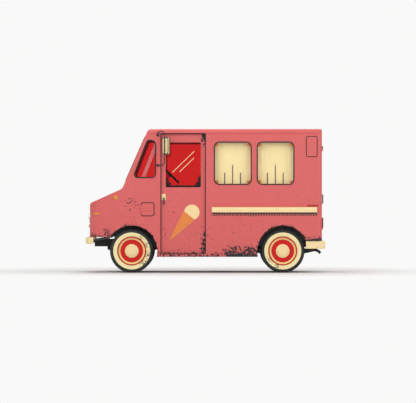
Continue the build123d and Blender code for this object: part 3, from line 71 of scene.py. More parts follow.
# A corner's place in its plane and its radius
Corner = tuple[float, float, float]
# A spot's X and Z and its reach
Spot = tuple[float, float, float]


class Direction(Enum):
    """A named direction from the truck's middle, as a sign."""

    @property
    def word(self) -> str:
        """The direction's name as the nodes spell it."""
        return self.name.lower()


class Side(Direction):
    """A side of the truck, as the sign of its Y."""

    LEFT = 1
    RIGHT = -1


class End(Direction):
    """An end of the truck, as the sign of its X."""

    FRONT = 1
    REAR = -1


class Strip(Enum):
    """The finish of a strip round a tyre, as its material slot."""

    BLACK = 0
    WHITE = 1


def linear(red: int, green: int, blue: int) -> Colour:
    """Turn a colour written in 0 to 255 steps into the linear values that a shader reads.

    Args:
        red: Red step.
        green: Green step.
        blue: Blue step.

    Returns:
        The three linear values.
    """
    steps = (value / 255 for value in (red, green, blue))
    return tuple(s / 12.92 if s <= 0.04045 else ((s + 0.055) / 1.055) ** 2.4 for s in steps)


def tone(colour: Colour, factor: float) -> Colour:
    """A colour darkened or lightened by a factor, with no value above 1."""
    return tuple(min(1.0, value * factor) for value in colour)


PINK = linear(217, 97, 96)
CREAM = linear(250, 226, 170)
WHITEWALL_CREAM = linear(253, 237, 180)
WHEEL_RED = linear(207, 16, 18)
CONE_ORANGE = linear(231, 133, 60)
AMBER = linear(243, 158, 48)
INK = linear(30, 33, 35)


class Wiring:
    """A material's shader tree with short calls for the nodes that the finishes share."""

    def __init__(self, name: str) -> None:
        """Make a material with a Principled shader and Object coordinates.

        Args:
            name: The material's name.
        """
        self.material = bpy.data.materials.new(name)
        self.material.use_nodes = True
        self.tree = self.material.node_tree
        self.shader = self.tree.nodes["Principled BSDF"]
        self.place = self.tree.nodes.new("ShaderNodeTexCoord").outputs["Object"]
        split = self.tree.nodes.new("ShaderNodeSeparateXYZ")
        self.tree.links.new(self.place, split.inputs[0])
        self.x, self.y, self.z = split.outputs

    def feed(self, socket: Any, value: Any) -> None:
        """Link an output to a socket, or set the socket to a plain value.

        Args:
            socket: The input to feed.
            value: An output or a plain value.
        """
        if isinstance(value, bpy.types.NodeSocket):
            self.tree.links.new(value, socket)
        else:
            socket.default_value = value

    def math(self, operation: str, first: Any, second: Any = 0.0, third: Any = 0.0) -> Any:
        """Add a Math node.

        Args:
            operation: The node's operation.
            first: First number or output.
            second: Second number or output.
            third: Third number or output.

        Returns:
            The node's output.
        """
        node = self.tree.nodes.new("ShaderNodeMath")
        node.operation = operation
        for socket, value in zip(node.inputs, (first, second, third)):
            self.feed(socket, value)
        return node.outputs[0]

    def ramp(self, value: Any, low: float, high: float) -> Any:
        """A smooth step from 0 to 1.

        Args:
            value: A number or an output.
            low: The value that gives 0.
            high: The value that gives 1.

        Returns:
            The step's output.
        """
        node = self.tree.nodes.new("ShaderNodeMapRange")
        node.interpolation_type = "SMOOTHSTEP"
        self.feed(node.inputs["Value"], value)
        node.inputs["From Min"].default_value = low
        node.inputs["From Max"].default_value = high
        return node.outputs["Result"]

    def band(self, value: Any, low: float, high: float, soft: float) -> Any:
        """1 between low and high, and 0 beyond a soft edge on each side.

        Args:
            value: A number or an output.
            low: The lower edge.
            high: The upper edge.
            soft: Half the width of each edge.

        Returns:
            The band's output.
        """
        rising = self.ramp(value, low - soft, low + soft)
        falling = self.ramp(value, high - soft, high + soft)
        return self.math("SUBTRACT", rising, falling)

    def most(self, *values: Any) -> Any:
        """The largest of several values.

        Args:
            *values: Numbers or outputs.

        Returns:
            The largest one's output.
        """
        result = values[0]
        for value in values[1:]:
            result = self.math("MAXIMUM", result, value)
        return result

    def times(self, *values: Any) -> Any:
        """The product of several values.

        Args:
            *values: Numbers or outputs.

        Returns:
            The product's output.
        """
        result = values[0]
        for value in values[1:]:
            result = self.math("MULTIPLY", result, value)
        return result

    def noise(
        self, scale: float, detail: float = 4.0, roughness: float = 0.6, stretch: Point = (1.0, 1.0, 1.0)
    ) -> Any:
        """Noise over Object coordinates.

        Args:
            scale: Waves in a metre.
            detail: Octaves.
            roughness: Weight of the finer octaves.
            stretch: Scale along each axis.

        Returns:
            The noise value's output.
        """
        mapping = self.tree.nodes.new("ShaderNodeMapping")
        mapping.inputs["Scale"].default_value = stretch
        self.tree.links.new(self.place, mapping.inputs["Vector"])
        node = self.tree.nodes.new("ShaderNodeTexNoise")
        self.tree.links.new(mapping.outputs["Vector"], node.inputs["Vector"])
        node.inputs["Scale"].default_value = scale
        node.inputs["Detail"].default_value = detail
        node.inputs["Roughness"].default_value = roughness
        return node.outputs["Fac"]

    def mix(self, factor: Any, first: Any, second: Any) -> Any:
        """Mix two colours.

        Args:
            factor: 0 for the first colour, 1 for the second.
            first: A colour or an output.
            second: A colour or an output.

        Returns:
            The mixed colour's output.
        """
        node = self.tree.nodes.new("ShaderNodeMix")
        node.data_type = "RGBA"
        self.feed(node.inputs[0], factor)
        for socket, value in ((node.inputs[6], first), (node.inputs[7], second)):
            self.feed(socket, value if isinstance(value, bpy.types.NodeSocket) else (*value, 1.0))
        return node.outputs[2]

    def length(self, first: Any, second: Any) -> Any:
        """The length of a step along two axes."""
        return self.math("SQRT", self.math("ADD", self.times(first, first), self.times(second, second)))

    def radius(self, x: float, z: float) -> Any:
        """The distance from a line along Y through x and z."""
        return self.length(self.math("SUBTRACT", self.x, x), self.math("SUBTRACT", self.z, z))

    def blob(self, x: float, z: float, reach: float) -> Any:
        """1 on a line along Y through x and z, fading to 0 at its reach."""
        return self.ramp(self.radius(x, z), reach, 0.0)

    def bump(self, height: Any, distance: float, strength: float = 0.5) -> None:
        """Give the shader a bump.

        Args:
            height: The output that is read as a height.
            distance: How far a height of 1 stands out, in metres.
            strength: How much of the bump shows.
        """
        node = self.tree.nodes.new("ShaderNodeBump")
        node.inputs["Strength"].default_value = strength
        node.inputs["Distance"].default_value = distance
        self.feed(node.inputs["Height"], height)
        self.tree.links.new(node.outputs["Normal"], self.shader.inputs["Normal"])

    def set(self, **values: Any) -> None:
        """Set or link the shader's sockets.

        Args:
            **values: Plain values or outputs by socket name, with underscores for spaces.
        """
        for name, value in values.items():
            socket = self.shader.inputs[name.replace("_", " ")]
            if isinstance(value, tuple) and len(value) == 3 and socket.type == "RGBA":
                value = (*value, 1.0)
            self.feed(socket, value)


@dataclass(frozen=True)
class Opening:
    """A rectangle with round corners in a flat panel, measured along the panel and up, in metres."""

    start: float
    end: float
    low: float
    high: float
    corner: float

    def ring(self) -> Outline:
        """The points round its edge."""
        return box_outline(self.start, self.end, self.low, self.high, self.corner)


@dataclass(frozen=True)
class TruckPlan:
    """Places on the truck that several pieces share, in metres."""

    front_axle_x: float = 1.328
    rear_axle_x: float = -1.395
    axle_z: float = 0.393
    wheel_y: float = 0.78
    arch_radius: float = 0.461
    half_width: float = 0.95
    wall: float = 0.04
    rear_x: float = -2.1
    rail_rear_x: float = -2.009
    rail_front_x: float = -0.115
    door_face_y: float = 0.904
    door_pane: Opening = Opening(0.077, 0.718, 1.535, 2.353, 0.022)
    side_windows: tuple[Opening, ...] = (
        Opening(-0.824, -0.162, 1.593, 2.354, 0.09),
        Opening(-1.593, -0.934, 1.593, 2.354, 0.09),
    )

    def axle_x(self, end: End) -> float:
        """The X of one end's axle."""
        return self.front_axle_x if end is End.FRONT else self.rear_axle_x


PLAN = TruckPlan()


@dataclass(frozen=True)
class BodyPaint:
    """Pink enamel, mottled, chipped to dark primer where the truck gets knocked.

    Its options paint the hatched band below the rub rail as painted shadow, the sliding door's handle, what
    lies inboard of the skin, and the hardware that stands proud behind the rear doors.
    """

    name: str = "pink_enamel"
    colour: Colour = PINK
    primer: Colour = INK
    chip_scale: float = 25.0
    chip_level: float = 0.66
    chip_gain: float = 0.21
    speck_level: float = 0.68
    speck_gain: float = 0.085
    speck_cover: float = 0.75
    chip_edge: float = 0.02
    arch_wear: float = 0.06
    # The hatch below the rub rail is painted shadow: dark slanting strokes and a solid dark strip under the
    # rail, with the pink lightened between the strokes as painted light.
    rail_hatch: bool = False
    hatch_pitch: float = 0.047
    hatch_slant: float = -0.6
    hatch_low_z: float = 1.024
    hatch_high_z: float = 1.09
    hatch_solid: float = 0.026
    fittings: bool = False
    plate_out: float = 0.0005
    lever_out: float = 0.0065
    inboard: Colour | None = None
    skin_y: float = 0.8
    proud_x: float | None = None

    def wear(self, w: Wiring) -> Any:
        """Where the paint is knocked: sill, arches, skirts, beside the fuel flap, the door's rear corners.

        Each place is a stretch in X, a fade in Z and a strength.

        Args:
            w: The material's wiring.

        Returns:
            An output from 0, sound, to 1, bare.
        """
        sill = w.times(w.band(w.x, -0.95, 0.86, 0.03), w.ramp(w.z, 0.46, 0.29), 0.9)
        rear_sill = w.times(w.band(w.x, -0.97, -0.3, 0.1), w.ramp(w.z, 0.64, 0.3), 1.2)
        front_skirt = w.times(w.ramp(w.x, 1.62, 1.78), w.ramp(w.z, 0.8, 0.63), 0.85)
        rear_skirt = w.times(w.ramp(w.x, -1.72, -1.82), w.ramp(w.z, 0.75, 0.58), 1.05)
        beside_flap = w.times(w.blob(1.31, 1.26, 0.27), 0.62)
        before_arch = w.blob(1.78, 0.71, 0.19)
        places = [sill, rear_sill, front_skirt, rear_skirt, beside_flap, before_arch]
        for end in End:
            distance = w.radius(PLAN.axle_x(end), PLAN.axle_z)
            lip = w.ramp(distance, PLAN.arch_radius + self.arch_wear, PLAN.arch_radius)
            places.append(w.times(lip, 0.75))
        if self.fittings:
            rear_edge = w.ramp(w.x, 0.15, 0.0)
            places.append(w.times(rear_edge, w.ramp(w.z, 1.05, 0.45), 1.25))
            places.append(w.times(rear_edge, w.ramp(w.z, 2.2, 2.44), 1.3))
        knocked = w.most(*places)
        if self.inboard:
            knocked = w.times(knocked, w.math("GREATER_THAN", w.math("ABSOLUTE", w.y), self.skin_y))
        return knocked

    def build(self) -> bpy.types.Material:
        """Make the material.

        Returns:
            The material.
        """
        w = Wiring(self.name)
        coarse = w.math("ADD", w.noise(self.chip_scale, 6.0, 0.72), w.times(self.wear(w), self.chip_gain))
        chips = w.ramp(coarse, self.chip_level, self.chip_level + self.chip_edge)
        patches = w.times(w.ramp(w.noise(2.6, 2.0), 0.48, 0.66), w.ramp(w.z, 1.75, 0.8))
        fine = w.noise(self.chip_scale * 1.8, 4.0, 0.6, (1.0, 1.0, 0.6))
        fine = w.math("ADD", fine, w.times(patches, self.speck_gain))
        specks = w.ramp(fine, self.speck_level, self.speck_level + self.chip_edge)
        specks = w.times(specks, self.speck_cover)
        mottle = w.noise(5.0, 5.0, 0.6)
        shade = w.mix(mottle, tone(self.colour, 0.93), tone(self.colour, 1.06))
        if self.rail_hatch:
            shade = self.hatch(w, shade)
        if self.fittings:
            shade = self.door_fittings(w, shade)
        if self.proud_x:
            shade = w.mix(w.math("LESS_THAN", w.x, self.proud_x), shade, self.primer)
        if self.inboard:
            inside = w.math("LESS_THAN", w.math("ABSOLUTE", w.y), self.skin_y)
            shade = w.mix(inside, shade, self.inboard)
        bare = w.most(chips, specks)
        w.set(Base_Color=w.mix(bare, shade, self.primer))
        w.set(Roughness=w.math("MULTIPLY_ADD", bare, 0.35, 0.42))
        w.bump(w.math("MULTIPLY_ADD", bare, -1.0, w.times(w.noise(260.0, 2.0), 0.12)), 0.0006)
        return w.material

    def hatch(self, w: Wiring, shade: Any) -> Any:
        """Paint painted shadow below the rub rail: slanting dark strokes, a solid dark strip under the rail,
        and the pink lightened between the strokes.

        Args:
            w: The material's wiring.
            shade: The paint's colour.

        Returns:
            The colour with the strokes.
        """
        outside = w.math("GREATER_THAN", w.math("ABSOLUTE", w.y), PLAN.half_width - PLAN.wall / 2)
        along = w.band(w.x, PLAN.rail_rear_x, PLAN.rail_front_x, 0.002)
        up = w.band(w.z, self.hatch_low_z, self.hatch_high_z, 0.003)
        slant = w.math("ADD", w.x, w.times(w.z, self.hatch_slant))
        wave = w.math("SINE", w.times(slant, 2 * math.pi / self.hatch_pitch))
        strokes = w.ramp(w.math("ADD", wave, w.times(w.noise(60.0, 3.0), 0.5)), -0.35, -0.05)
        # A solid dark strip just under the rail: painted shadow.
        shadow_strip_z = self.hatch_high_z - self.hatch_solid
        dark = w.most(strokes, w.ramp(w.z, shadow_strip_z - 0.002, shadow_strip_z))
        # Between the strokes the pink is lightened, painted light against the rail's real shadow.
        return w.mix(w.times(outside, along, up), shade, w.mix(dark, tone(self.colour, 1.35), self.primer))

    def door_fittings(self, w: Wiring, shade: Any) -> Any:
        """Paint the door's handle plate cream and its lever black, by how far they stand out.

        Args:
            w: The material's wiring.
            shade: The paint's colour.

        Returns:
            The colour with the handle.
        """
        out = w.math("ABSOLUTE", w.y)
        shade = w.mix(w.math("GREATER_THAN", out, PLAN.door_face_y + self.plate_out), shade, CREAM)
        return w.mix(w.math("GREATER_THAN", out, PLAN.door_face_y + self.lever_out), shade, INK)


@dataclass(frozen=True)
class Enamel:
    """A plain gloss paint with slight mottling and fine dark chips."""

    name: str
    colour: Colour
    chip: float = 0.72
    roughness: float = 0.4

    def coat(self, w: Wiring, *black: Any) -> bpy.types.Material:
        """Lay the paint on a material.

        Args:
            w: The material's wiring.
            *black: Outputs that are 1 where the piece is black instead.

        Returns:
            The material.
        """
        chips = w.ramp(w.noise(48.0, 5.0, 0.7), self.chip, self.chip + 0.02)
        mottle = w.noise(9.0, 4.0)
        shade = w.mix(mottle, tone(self.colour, 0.94), tone(self.colour, 1.04))
        w.set(Base_Color=w.mix(w.most(*black, chips), shade, INK))
        w.set(Roughness=w.math("MULTIPLY_ADD", mottle, 0.15, self.roughness - 0.07))
        w.bump(w.noise(220.0, 2.0), 0.0003)
        return w.material

    def build(self) -> bpy.types.Material:
        """Make the material."""
        return self.coat(Wiring(self.name))


@dataclass(frozen=True)
class BumperPaint:
    """Cream bumper bar whose stays and brackets are black."""

    name: str
    end: End
    bar_end: float
    bar_back: float = 2.1115
    bracket_reach: float = 0.5
    chip: float = 0.69

    def build(self) -> bpy.types.Material:
        """Make the material.

        Returns:
            The material.
        """
        w = Wiring(self.name)
        out = w.times(w.x, float(self.end.value))
        stays = w.math("LESS_THAN", out, self.bar_end)
        inboard = w.math("LESS_THAN", w.math("ABSOLUTE", w.y), self.bracket_reach)
        brackets = w.times(inboard, w.math("LESS_THAN", out, self.bar_back))
        return Enamel(self.name, CREAM, self.chip).coat(w, stays, brackets)


@dataclass(frozen=True)
class WheelPaint:
    """A steel wheel's rings, painted by their distance from the axle."""

    name: str
    end: End
    cap_radius: float = 0.1225
    disc_radius: float = 0.207
    flange_radius: float = 0.2365
    paint_edge: float = 0.001
    rust: Colour = linear(120, 90, 60)

    def build(self) -> bpy.types.Material:
        """Make the material.

        Returns:
            The material.
        """
        w = Wiring(self.name)
        distance = w.radius(PLAN.axle_x(self.end), PLAN.axle_z)
        rings = {self.cap_radius: WHEEL_RED, self.disc_radius: WHITEWALL_CREAM, self.flange_radius: WHEEL_RED}
        shade: Any = CREAM
        for radius, colour in rings.items():
            shade = w.mix(w.ramp(distance, radius, radius + self.paint_edge), shade, colour)
        grime = w.ramp(w.noise(26.0, 5.0, 0.7), 0.55, 0.8)
        chips = w.ramp(w.noise(60.0, 5.0, 0.7), 0.73, 0.75)
        shade = w.mix(w.times(grime, 0.12), shade, self.rust)
        w.set(Base_Color=w.mix(chips, shade, INK), Specular_IOR_Level=0.3)
        w.set(Roughness=w.math("MULTIPLY_ADD", grime, 0.3, 0.34))
        w.bump(w.noise(180.0, 2.0), 0.0003)
        return w.material


@dataclass(frozen=True)
class Rubber:
    """Tyre or seal rubber, or a dull coat below the floor, faintly dusty and knocked in places."""

    name: str
    colour: Colour = INK
    dust: Colour = linear(92, 86, 78)
    dust_amount: float = 0.35
    knocks: tuple[Spot, ...] = ()
    knock_gain: float = 0.155

    def build(self) -> bpy.types.Material:
        """Make the material.

        Returns:
            The material.
        """
        w = Wiring(self.name)
        cloud = w.ramp(w.noise(14.0, 6.0, 0.65), 0.45, 0.8)
        shade = w.mix(w.times(cloud, self.dust_amount), self.colour, self.dust)
        if self.knocks:
            near = w.most(*[w.blob(*knock) for knock in self.knocks])
            worn = w.math("ADD", w.noise(46.0, 5.0, 0.72), w.times(near, self.knock_gain))
            shade = w.mix(w.ramp(worn, 0.66, 0.68), shade, INK)
        w.set(Base_Color=shade, Roughness=w.math("MULTIPLY_ADD", cloud, 0.25, 0.62))
        w.bump(w.noise(320.0, 3.0), 0.0004)
        return w.material


@dataclass(frozen=True)
class Metal:
    """Bare or bright metal with fine brushing."""

    name: str
    colour: Colour
    roughness: float = 0.2
    grime: float = 0.25
    grime_colour: Colour = linear(70, 58, 46)

    def build(self) -> bpy.types.Material:
        """Make the material.

        Returns:
            The material.
        """
        w = Wiring(self.name)
        dirt = w.ramp(w.noise(18.0, 6.0, 0.7), 0.5, 0.85)
        w.set(Base_Color=w.mix(w.times(dirt, self.grime), self.colour, self.grime_colour), Metallic=1.0)
        w.set(Roughness=w.math("MULTIPLY_ADD", dirt, 0.35, self.roughness))
        w.bump(w.noise(400.0, 2.0, 0.5, (1.0, 1.0, 0.1)), 0.0002)
        return w.material


@dataclass(frozen=True)
class Glint:
    """A painted reflection: a bright line across a pane, from its rear end to its front end at a slope."""

    slope: float
    height_at_origin: float
    half: float
    rear_x: float
    front_x: float


@dataclass(frozen=True)
class Glazing:
    """Window glass with a tint, faint smears, dirt in its corners and bright lines on the left side, which
    are painted reflections.
    """

    name: str
    tint: Colour
    glints: tuple[Glint, ...] = ()
    glint_colour: Colour = CREAM
    stains: tuple[Spot, ...] = ()
    stain_colour: Colour = INK
    sill_z: float = 0.0
    sill_reach: float = 0.08
    ragged: float = 1.3
    ior: float = 1.2

    def marks(self, w: Wiring) -> Any:
        """Where the bright lines of painted reflection run.

        Args:
            w: The material's wiring.

        Returns:
            An output that is 1 on a line.
        """
        lines = []
        for glint in self.glints:
            slant = w.math("MULTIPLY_ADD", w.x, glint.slope, w.z)
            middle = glint.height_at_origin
            across = w.band(slant, middle - glint.half, middle + glint.half, 0.002)
            lines.append(w.times(across, w.band(w.x, glint.rear_x, glint.front_x, 0.003)))
        return w.times(w.most(*lines), w.ramp(w.y, 0.0, 0.1))

    def dirt(self, w: Wiring) -> Any:
        """Where dirt lies: in blobs at the given places and along the pane's lower edge.

        Args:
            w: The material's wiring.

        Returns:
            An output that is 1 on dirt.
        """
        places = [w.blob(*stain) for stain in self.stains]
        places.append(w.ramp(w.z, self.sill_z + self.sill_reach, self.sill_z))
        ragged = w.math("MULTIPLY_ADD", w.noise(38.0, 6.0, 0.72), self.ragged, -self.ragged / 2)
        return w.ramp(w.math("ADD", w.most(*places), ragged), 0.5, 0.6)

    def build(self) -> bpy.types.Material:
        """Make the material.

        Returns:
            The material.
        """
        w = Wiring(self.name)
        smear = w.ramp(w.noise(7.0, 5.0, 0.65, (1.0, 1.0, 2.2)), 0.5, 0.9)
        tint = w.mix(w.times(smear, 0.1), self.tint, tone(self.tint, 1.15))
        clear = w.math("MULTIPLY_ADD", smear, -0.04, 1.0)
        rough = w.math("MULTIPLY_ADD", smear, 0.08, 0.03)
        # Painted reflections: bright, nearly opaque lines laid into the glass's colour.
        if self.glints:
            marks = self.marks(w)
            tint = w.mix(marks, tint, self.glint_colour)
            clear = w.math("MULTIPLY_ADD", marks, -0.85, clear)
        if self.stains:
            dirt = self.dirt(w)
            tint = w.mix(dirt, tint, self.stain_colour)
            clear = w.math("MULTIPLY", clear, w.math("SUBTRACT", 1.0, dirt))
            rough = w.math("MULTIPLY_ADD", dirt, 0.6, rough)
        w.set(Base_Color=tint, Roughness=rough, IOR=self.ior, Transmission_Weight=clear)
        return w.material


@dataclass(frozen=True)
class Lens:
    """A moulded lamp lens with fine flutes."""

    name: str
    colour: Colour
    flutes: float = 140.0

    def build(self) -> bpy.types.Material:
        """Make the material.

        Returns:
            The material.
        """
        w = Wiring(self.name)
        wave = w.math("SINE", w.math("MULTIPLY", w.math("ADD", w.z, w.y), self.flutes * math.pi))
        cloud = w.noise(30.0, 3.0)
        w.set(Base_Color=w.mix(cloud, tone(self.colour, 0.85), self.colour))
        w.set(Roughness=w.math("MULTIPLY_ADD", cloud, 0.1, 0.12), Transmission_Weight=0.08, Coat_Weight=0.25)
        w.bump(wave, 0.0008, 0.4)
        return w.material


@dataclass(frozen=True)
class Cloth:
    """Woven cotton: fine threads over a soft colour, with painted shade along the pleats and faint stains."""

    name: str
    colour: Colour
    pleats: tuple[tuple[float, float], ...] = ()
    pleat_half: float = 0.0105
    pleat_fade: float = 0.04
    pleat_colour: Colour = linear(52, 42, 38)
    stain_colour: Colour = linear(226, 160, 88)
    threads: float = 900.0

    def build(self) -> bpy.types.Material:
        """Make the material.

        Returns:
            The material.
        """
        w = Wiring(self.name)
        warp = w.math("SINE", w.math("MULTIPLY", w.x, self.threads * math.pi))
        weft = w.math("SINE", w.math("MULTIPLY", w.z, self.threads * math.pi))
        weave = w.math("MULTIPLY", warp, weft)
        stain = w.ramp(w.noise(9.0, 5.0, 0.65), 0.55, 0.85)
        shade = w.mix(w.times(stain, 0.25), self.colour, self.stain_colour)
        # Dark lines rising from the hem at each pleat: painted shade in the folds.
        lines = []
        for x, top in self.pleats:
            across = w.band(w.x, x - self.pleat_half, x + self.pleat_half, 0.003)
            lines.append(w.times(across, w.ramp(w.z, top, top - self.pleat_fade)))
        if lines:
            shade = w.mix(w.times(w.most(*lines), 0.9), shade, self.pleat_colour)
        w.set(Base_Color=shade, Roughness=w.math("MULTIPLY_ADD", weave, 0.05, 0.85), Sheen_Weight=0.1)
        w.bump(weave, 0.0002, 0.2)
        return w.material


@dataclass(frozen=True)
class Vinyl:
    """Seat vinyl with a pebbled grain."""

    name: str
    colour: Colour
    grain_scale: float = 420.0

    def build(self) -> bpy.types.Material:
        """Make the material.

        Returns:
            The material.
        """
        w = Wiring(self.name)
        grain = w.tree.nodes.new("ShaderNodeTexVoronoi")
        w.tree.links.new(w.place, grain.inputs["Vector"])
        grain.inputs["Scale"].default_value = self.grain_scale
        rub = w.ramp(w.noise(11.0, 4.0), 0.45, 0.8)
        w.set(Base_Color=w.mix(w.times(rub, 0.4), self.colour, tone(self.colour, 2.2)))
        w.set(Roughness=w.math("MULTIPLY_ADD", rub, -0.12, 0.52))
        w.bump(grain.outputs["Distance"], 0.0006, 0.5)
        return w.material


class Finishes:
    """Every material on the truck, made once."""

    def __init__(self) -> None:
        """Build the materials."""
        self.body = BodyPaint().build()
        # The side panels carry the painted shadow hatch below the rub rail.
        self.side = BodyPaint("pink_enamel_with_hatch", rail_hatch=True).build()
        self.door = BodyPaint("pink_enamel_door", fittings=True).build()
        self.rear_door = BodyPaint("pink_enamel_rear_door", proud_x=-2.101).build()
        self.cream = Enamel("cream_enamel", CREAM, chip=0.73).build()
        self.front_bumper = BumperPaint("front_bumper_enamel", End.FRONT, bar_end=2.0195).build()
        self.rear_bumper = BumperPaint("rear_bumper_enamel", End.REAR, bar_end=1.81).build()
        self.black = Enamel("black_enamel", INK, chip=0.8, roughness=0.5).build()
        self.frame_black = Rubber(
            "chassis_black", linear(38, 38, 39), dust=linear(96, 80, 62), dust_amount=0.6
        ).build()
        # The wheelhouses' grey is lighter than the chassis black: painted light that lifts them out of their
        # shade, with real dust over it.
        self.underseal = Rubber(
            "arch_underseal", linear(92, 90, 90), dust=linear(120, 104, 84), dust_amount=0.5
        ).build()
        self.white = Enamel("freezer_white", linear(238, 236, 230), chip=0.85, roughness=0.3).build()
        self.floor_paint = BodyPaint("floor_and_steps", inboard=linear(112, 108, 104)).build()
        self.wheel_front = WheelPaint("wheel_rings_front", End.FRONT).build()
        self.wheel_rear = WheelPaint("wheel_rings_rear", End.REAR).build()
        self.tyre = Rubber("tyre_rubber").build()
        knocks = (
            (1.06, 0.34, 0.17), (1.12, 0.19, 0.15), (1.05, 0.5, 0.14), (1.15, 0.64, 0.12),
            (-1.17, 0.23, 0.14), (-1.3, 0.12, 0.12),
        )
        self.whitewall = Rubber(
            "whitewall_rubber", WHITEWALL_CREAM, dust=linear(190, 165, 120), dust_amount=0.25, knocks=knocks
        ).build()
        self.seal = Rubber("seal_rubber", linear(22, 23, 25), dust_amount=0.15).build()
        self.chrome = Metal("bright_chrome", linear(225, 225, 222), roughness=0.12, grime=0.15).build()
        self.steel = Metal("dull_steel", linear(120, 116, 110), roughness=0.45, grime=0.6).build()
        self.mirror = Metal("mirror_silver", linear(235, 238, 240), roughness=0.03, grime=0.05).build()
        self.clear_glass = Glazing("clear_glass", linear(252, 252, 246)).build()
        stain_inset, stain_reach, stain_heights = 0.04, 0.068, (1.635, 2.31)
        stains = tuple(
            (x, z, stain_reach)
            for window in PLAN.side_windows
            for x in (window.start + stain_inset, window.end - stain_inset)
            for z in stain_heights
        )
        self.side_glass = Glazing(
            "side_glass", linear(255, 255, 250), stains=stains, stain_colour=linear(214, 128, 58), ragged=2.4
        ).build()
        red = linear(230, 92, 94)
        # The quarter pane's pink band is a painted reflection.
        quarter_glint = Glint(slope=2.59, height_at_origin=4.614, half=0.09, rear_x=0.9, front_x=1.2)
        self.cab_glass = Glazing(
            "quarter_glass", red, glints=(quarter_glint,), glint_colour=linear(217, 120, 118)
        ).build()
        # The door panes' two cream lines are painted reflections.
        door_glints = (
            Glint(slope=0.97, height_at_origin=2.385, half=0.009, rear_x=0.2, front_x=0.596),
            Glint(slope=0.97, height_at_origin=2.271, half=0.009, rear_x=0.209, front_x=0.466),
        )
        door_stains = ((0.085, 1.57, 0.18), (0.07, 1.69, 0.13), (0.72, 1.56, 0.18), (0.73, 1.66, 0.1))
        self.door_glass = Glazing(
            "door_glass", red, glints=door_glints, stains=door_stains, sill_z=PLAN.door_pane.low, ragged=2.2
        ).build()
        self.amber = Lens("amber_lens", AMBER).build()
        self.red_lens = Lens("red_lens", linear(190, 6, 8)).build()
        self.clear_lens = Lens("clear_lens", linear(238, 238, 228), flutes=90.0).build()
        # Pleat places and the tops of their painted shade.
        pleat_places = (-0.349, -0.4905, -0.632, -1.119, -1.262, -1.404)
        pleat_tops = (1.824, 1.965, 1.824) * len(PLAN.side_windows)
        pleats = tuple(zip(pleat_places, pleat_tops))
        self.curtain = Cloth("curtain_cotton", linear(253, 233, 180), pleats).build()
        self.vinyl = Vinyl("seat_vinyl", linear(44, 40, 40)).build()
        self.sign_cream = Enamel("sign_cream", linear(250, 222, 162), chip=0.76).build()
        self.sign_orange = Enamel("sign_orange", CONE_ORANGE, chip=0.76).build()


def collect(name: str, mesh: bpy.types.Mesh) -> bpy.types.Object:
    """Put a mesh into the scene as an object at the origin.

    Args:
        name: The object's name.
        mesh: Its mesh.

    Returns:
        The object.
    """
    piece = bpy.data.objects.new(name, mesh)
    bpy.context.scene.collection.objects.link(piece)
    return piece


def from_bmesh(name: str, shape: bmesh.types.BMesh, *materials: bpy.types.Material) -> bpy.types.Object:
    """Turn a bmesh into an object with its normals facing out.

    Args:
        name: The piece's name.
        shape: The bmesh, which is freed.
        *materials: The piece's materials in slot order.

    Returns:
        The new object.
    """
    bmesh.ops.remove_doubles(shape, verts=shape.verts, dist=1e-6)
    bmesh.ops.recalc_face_normals(shape, faces=shape.faces)
    mesh = bpy.data.meshes.new(name)
    shape.to_mesh(mesh)
    shape.free()
    for material in materials:
        mesh.materials.append(material)
    return collect(name, mesh)


def settle(piece: bpy.types.Object, body: str) -> bpy.types.Object:
    """Ride a finished piece on a body and log it.

    Args:
        piece: The piece.
        body: The body that carries it.

    Returns:
        The piece.
    """
    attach(piece, body)
    LOG.info("%s rides %s", piece.name, body)
    return piece


def dress(frame: dict[str, Any], node: str, material: bpy.types.Material) -> None:
    """Give a CAD node a material in all its slots.

    Args:
        node: The node's name.
        material: The material.
    """
    piece = frame["nodes"][node]
    if not piece.material_slots:
        piece.data.materials.append(material)
    for slot in piece.material_slots:
        slot.material = material


def keep_shape(piece: bpy.types.Object) -> None:
    """Turn a piece's modifiers into its plain mesh.

    Args:
        piece: The piece.
    """
    graph = bpy.context.evaluated_depsgraph_get()
    mesh = bpy.data.meshes.new_from_object(piece.evaluated_get(graph))
    piece.modifiers.clear()
    piece.data = mesh
    mesh.name = piece.name


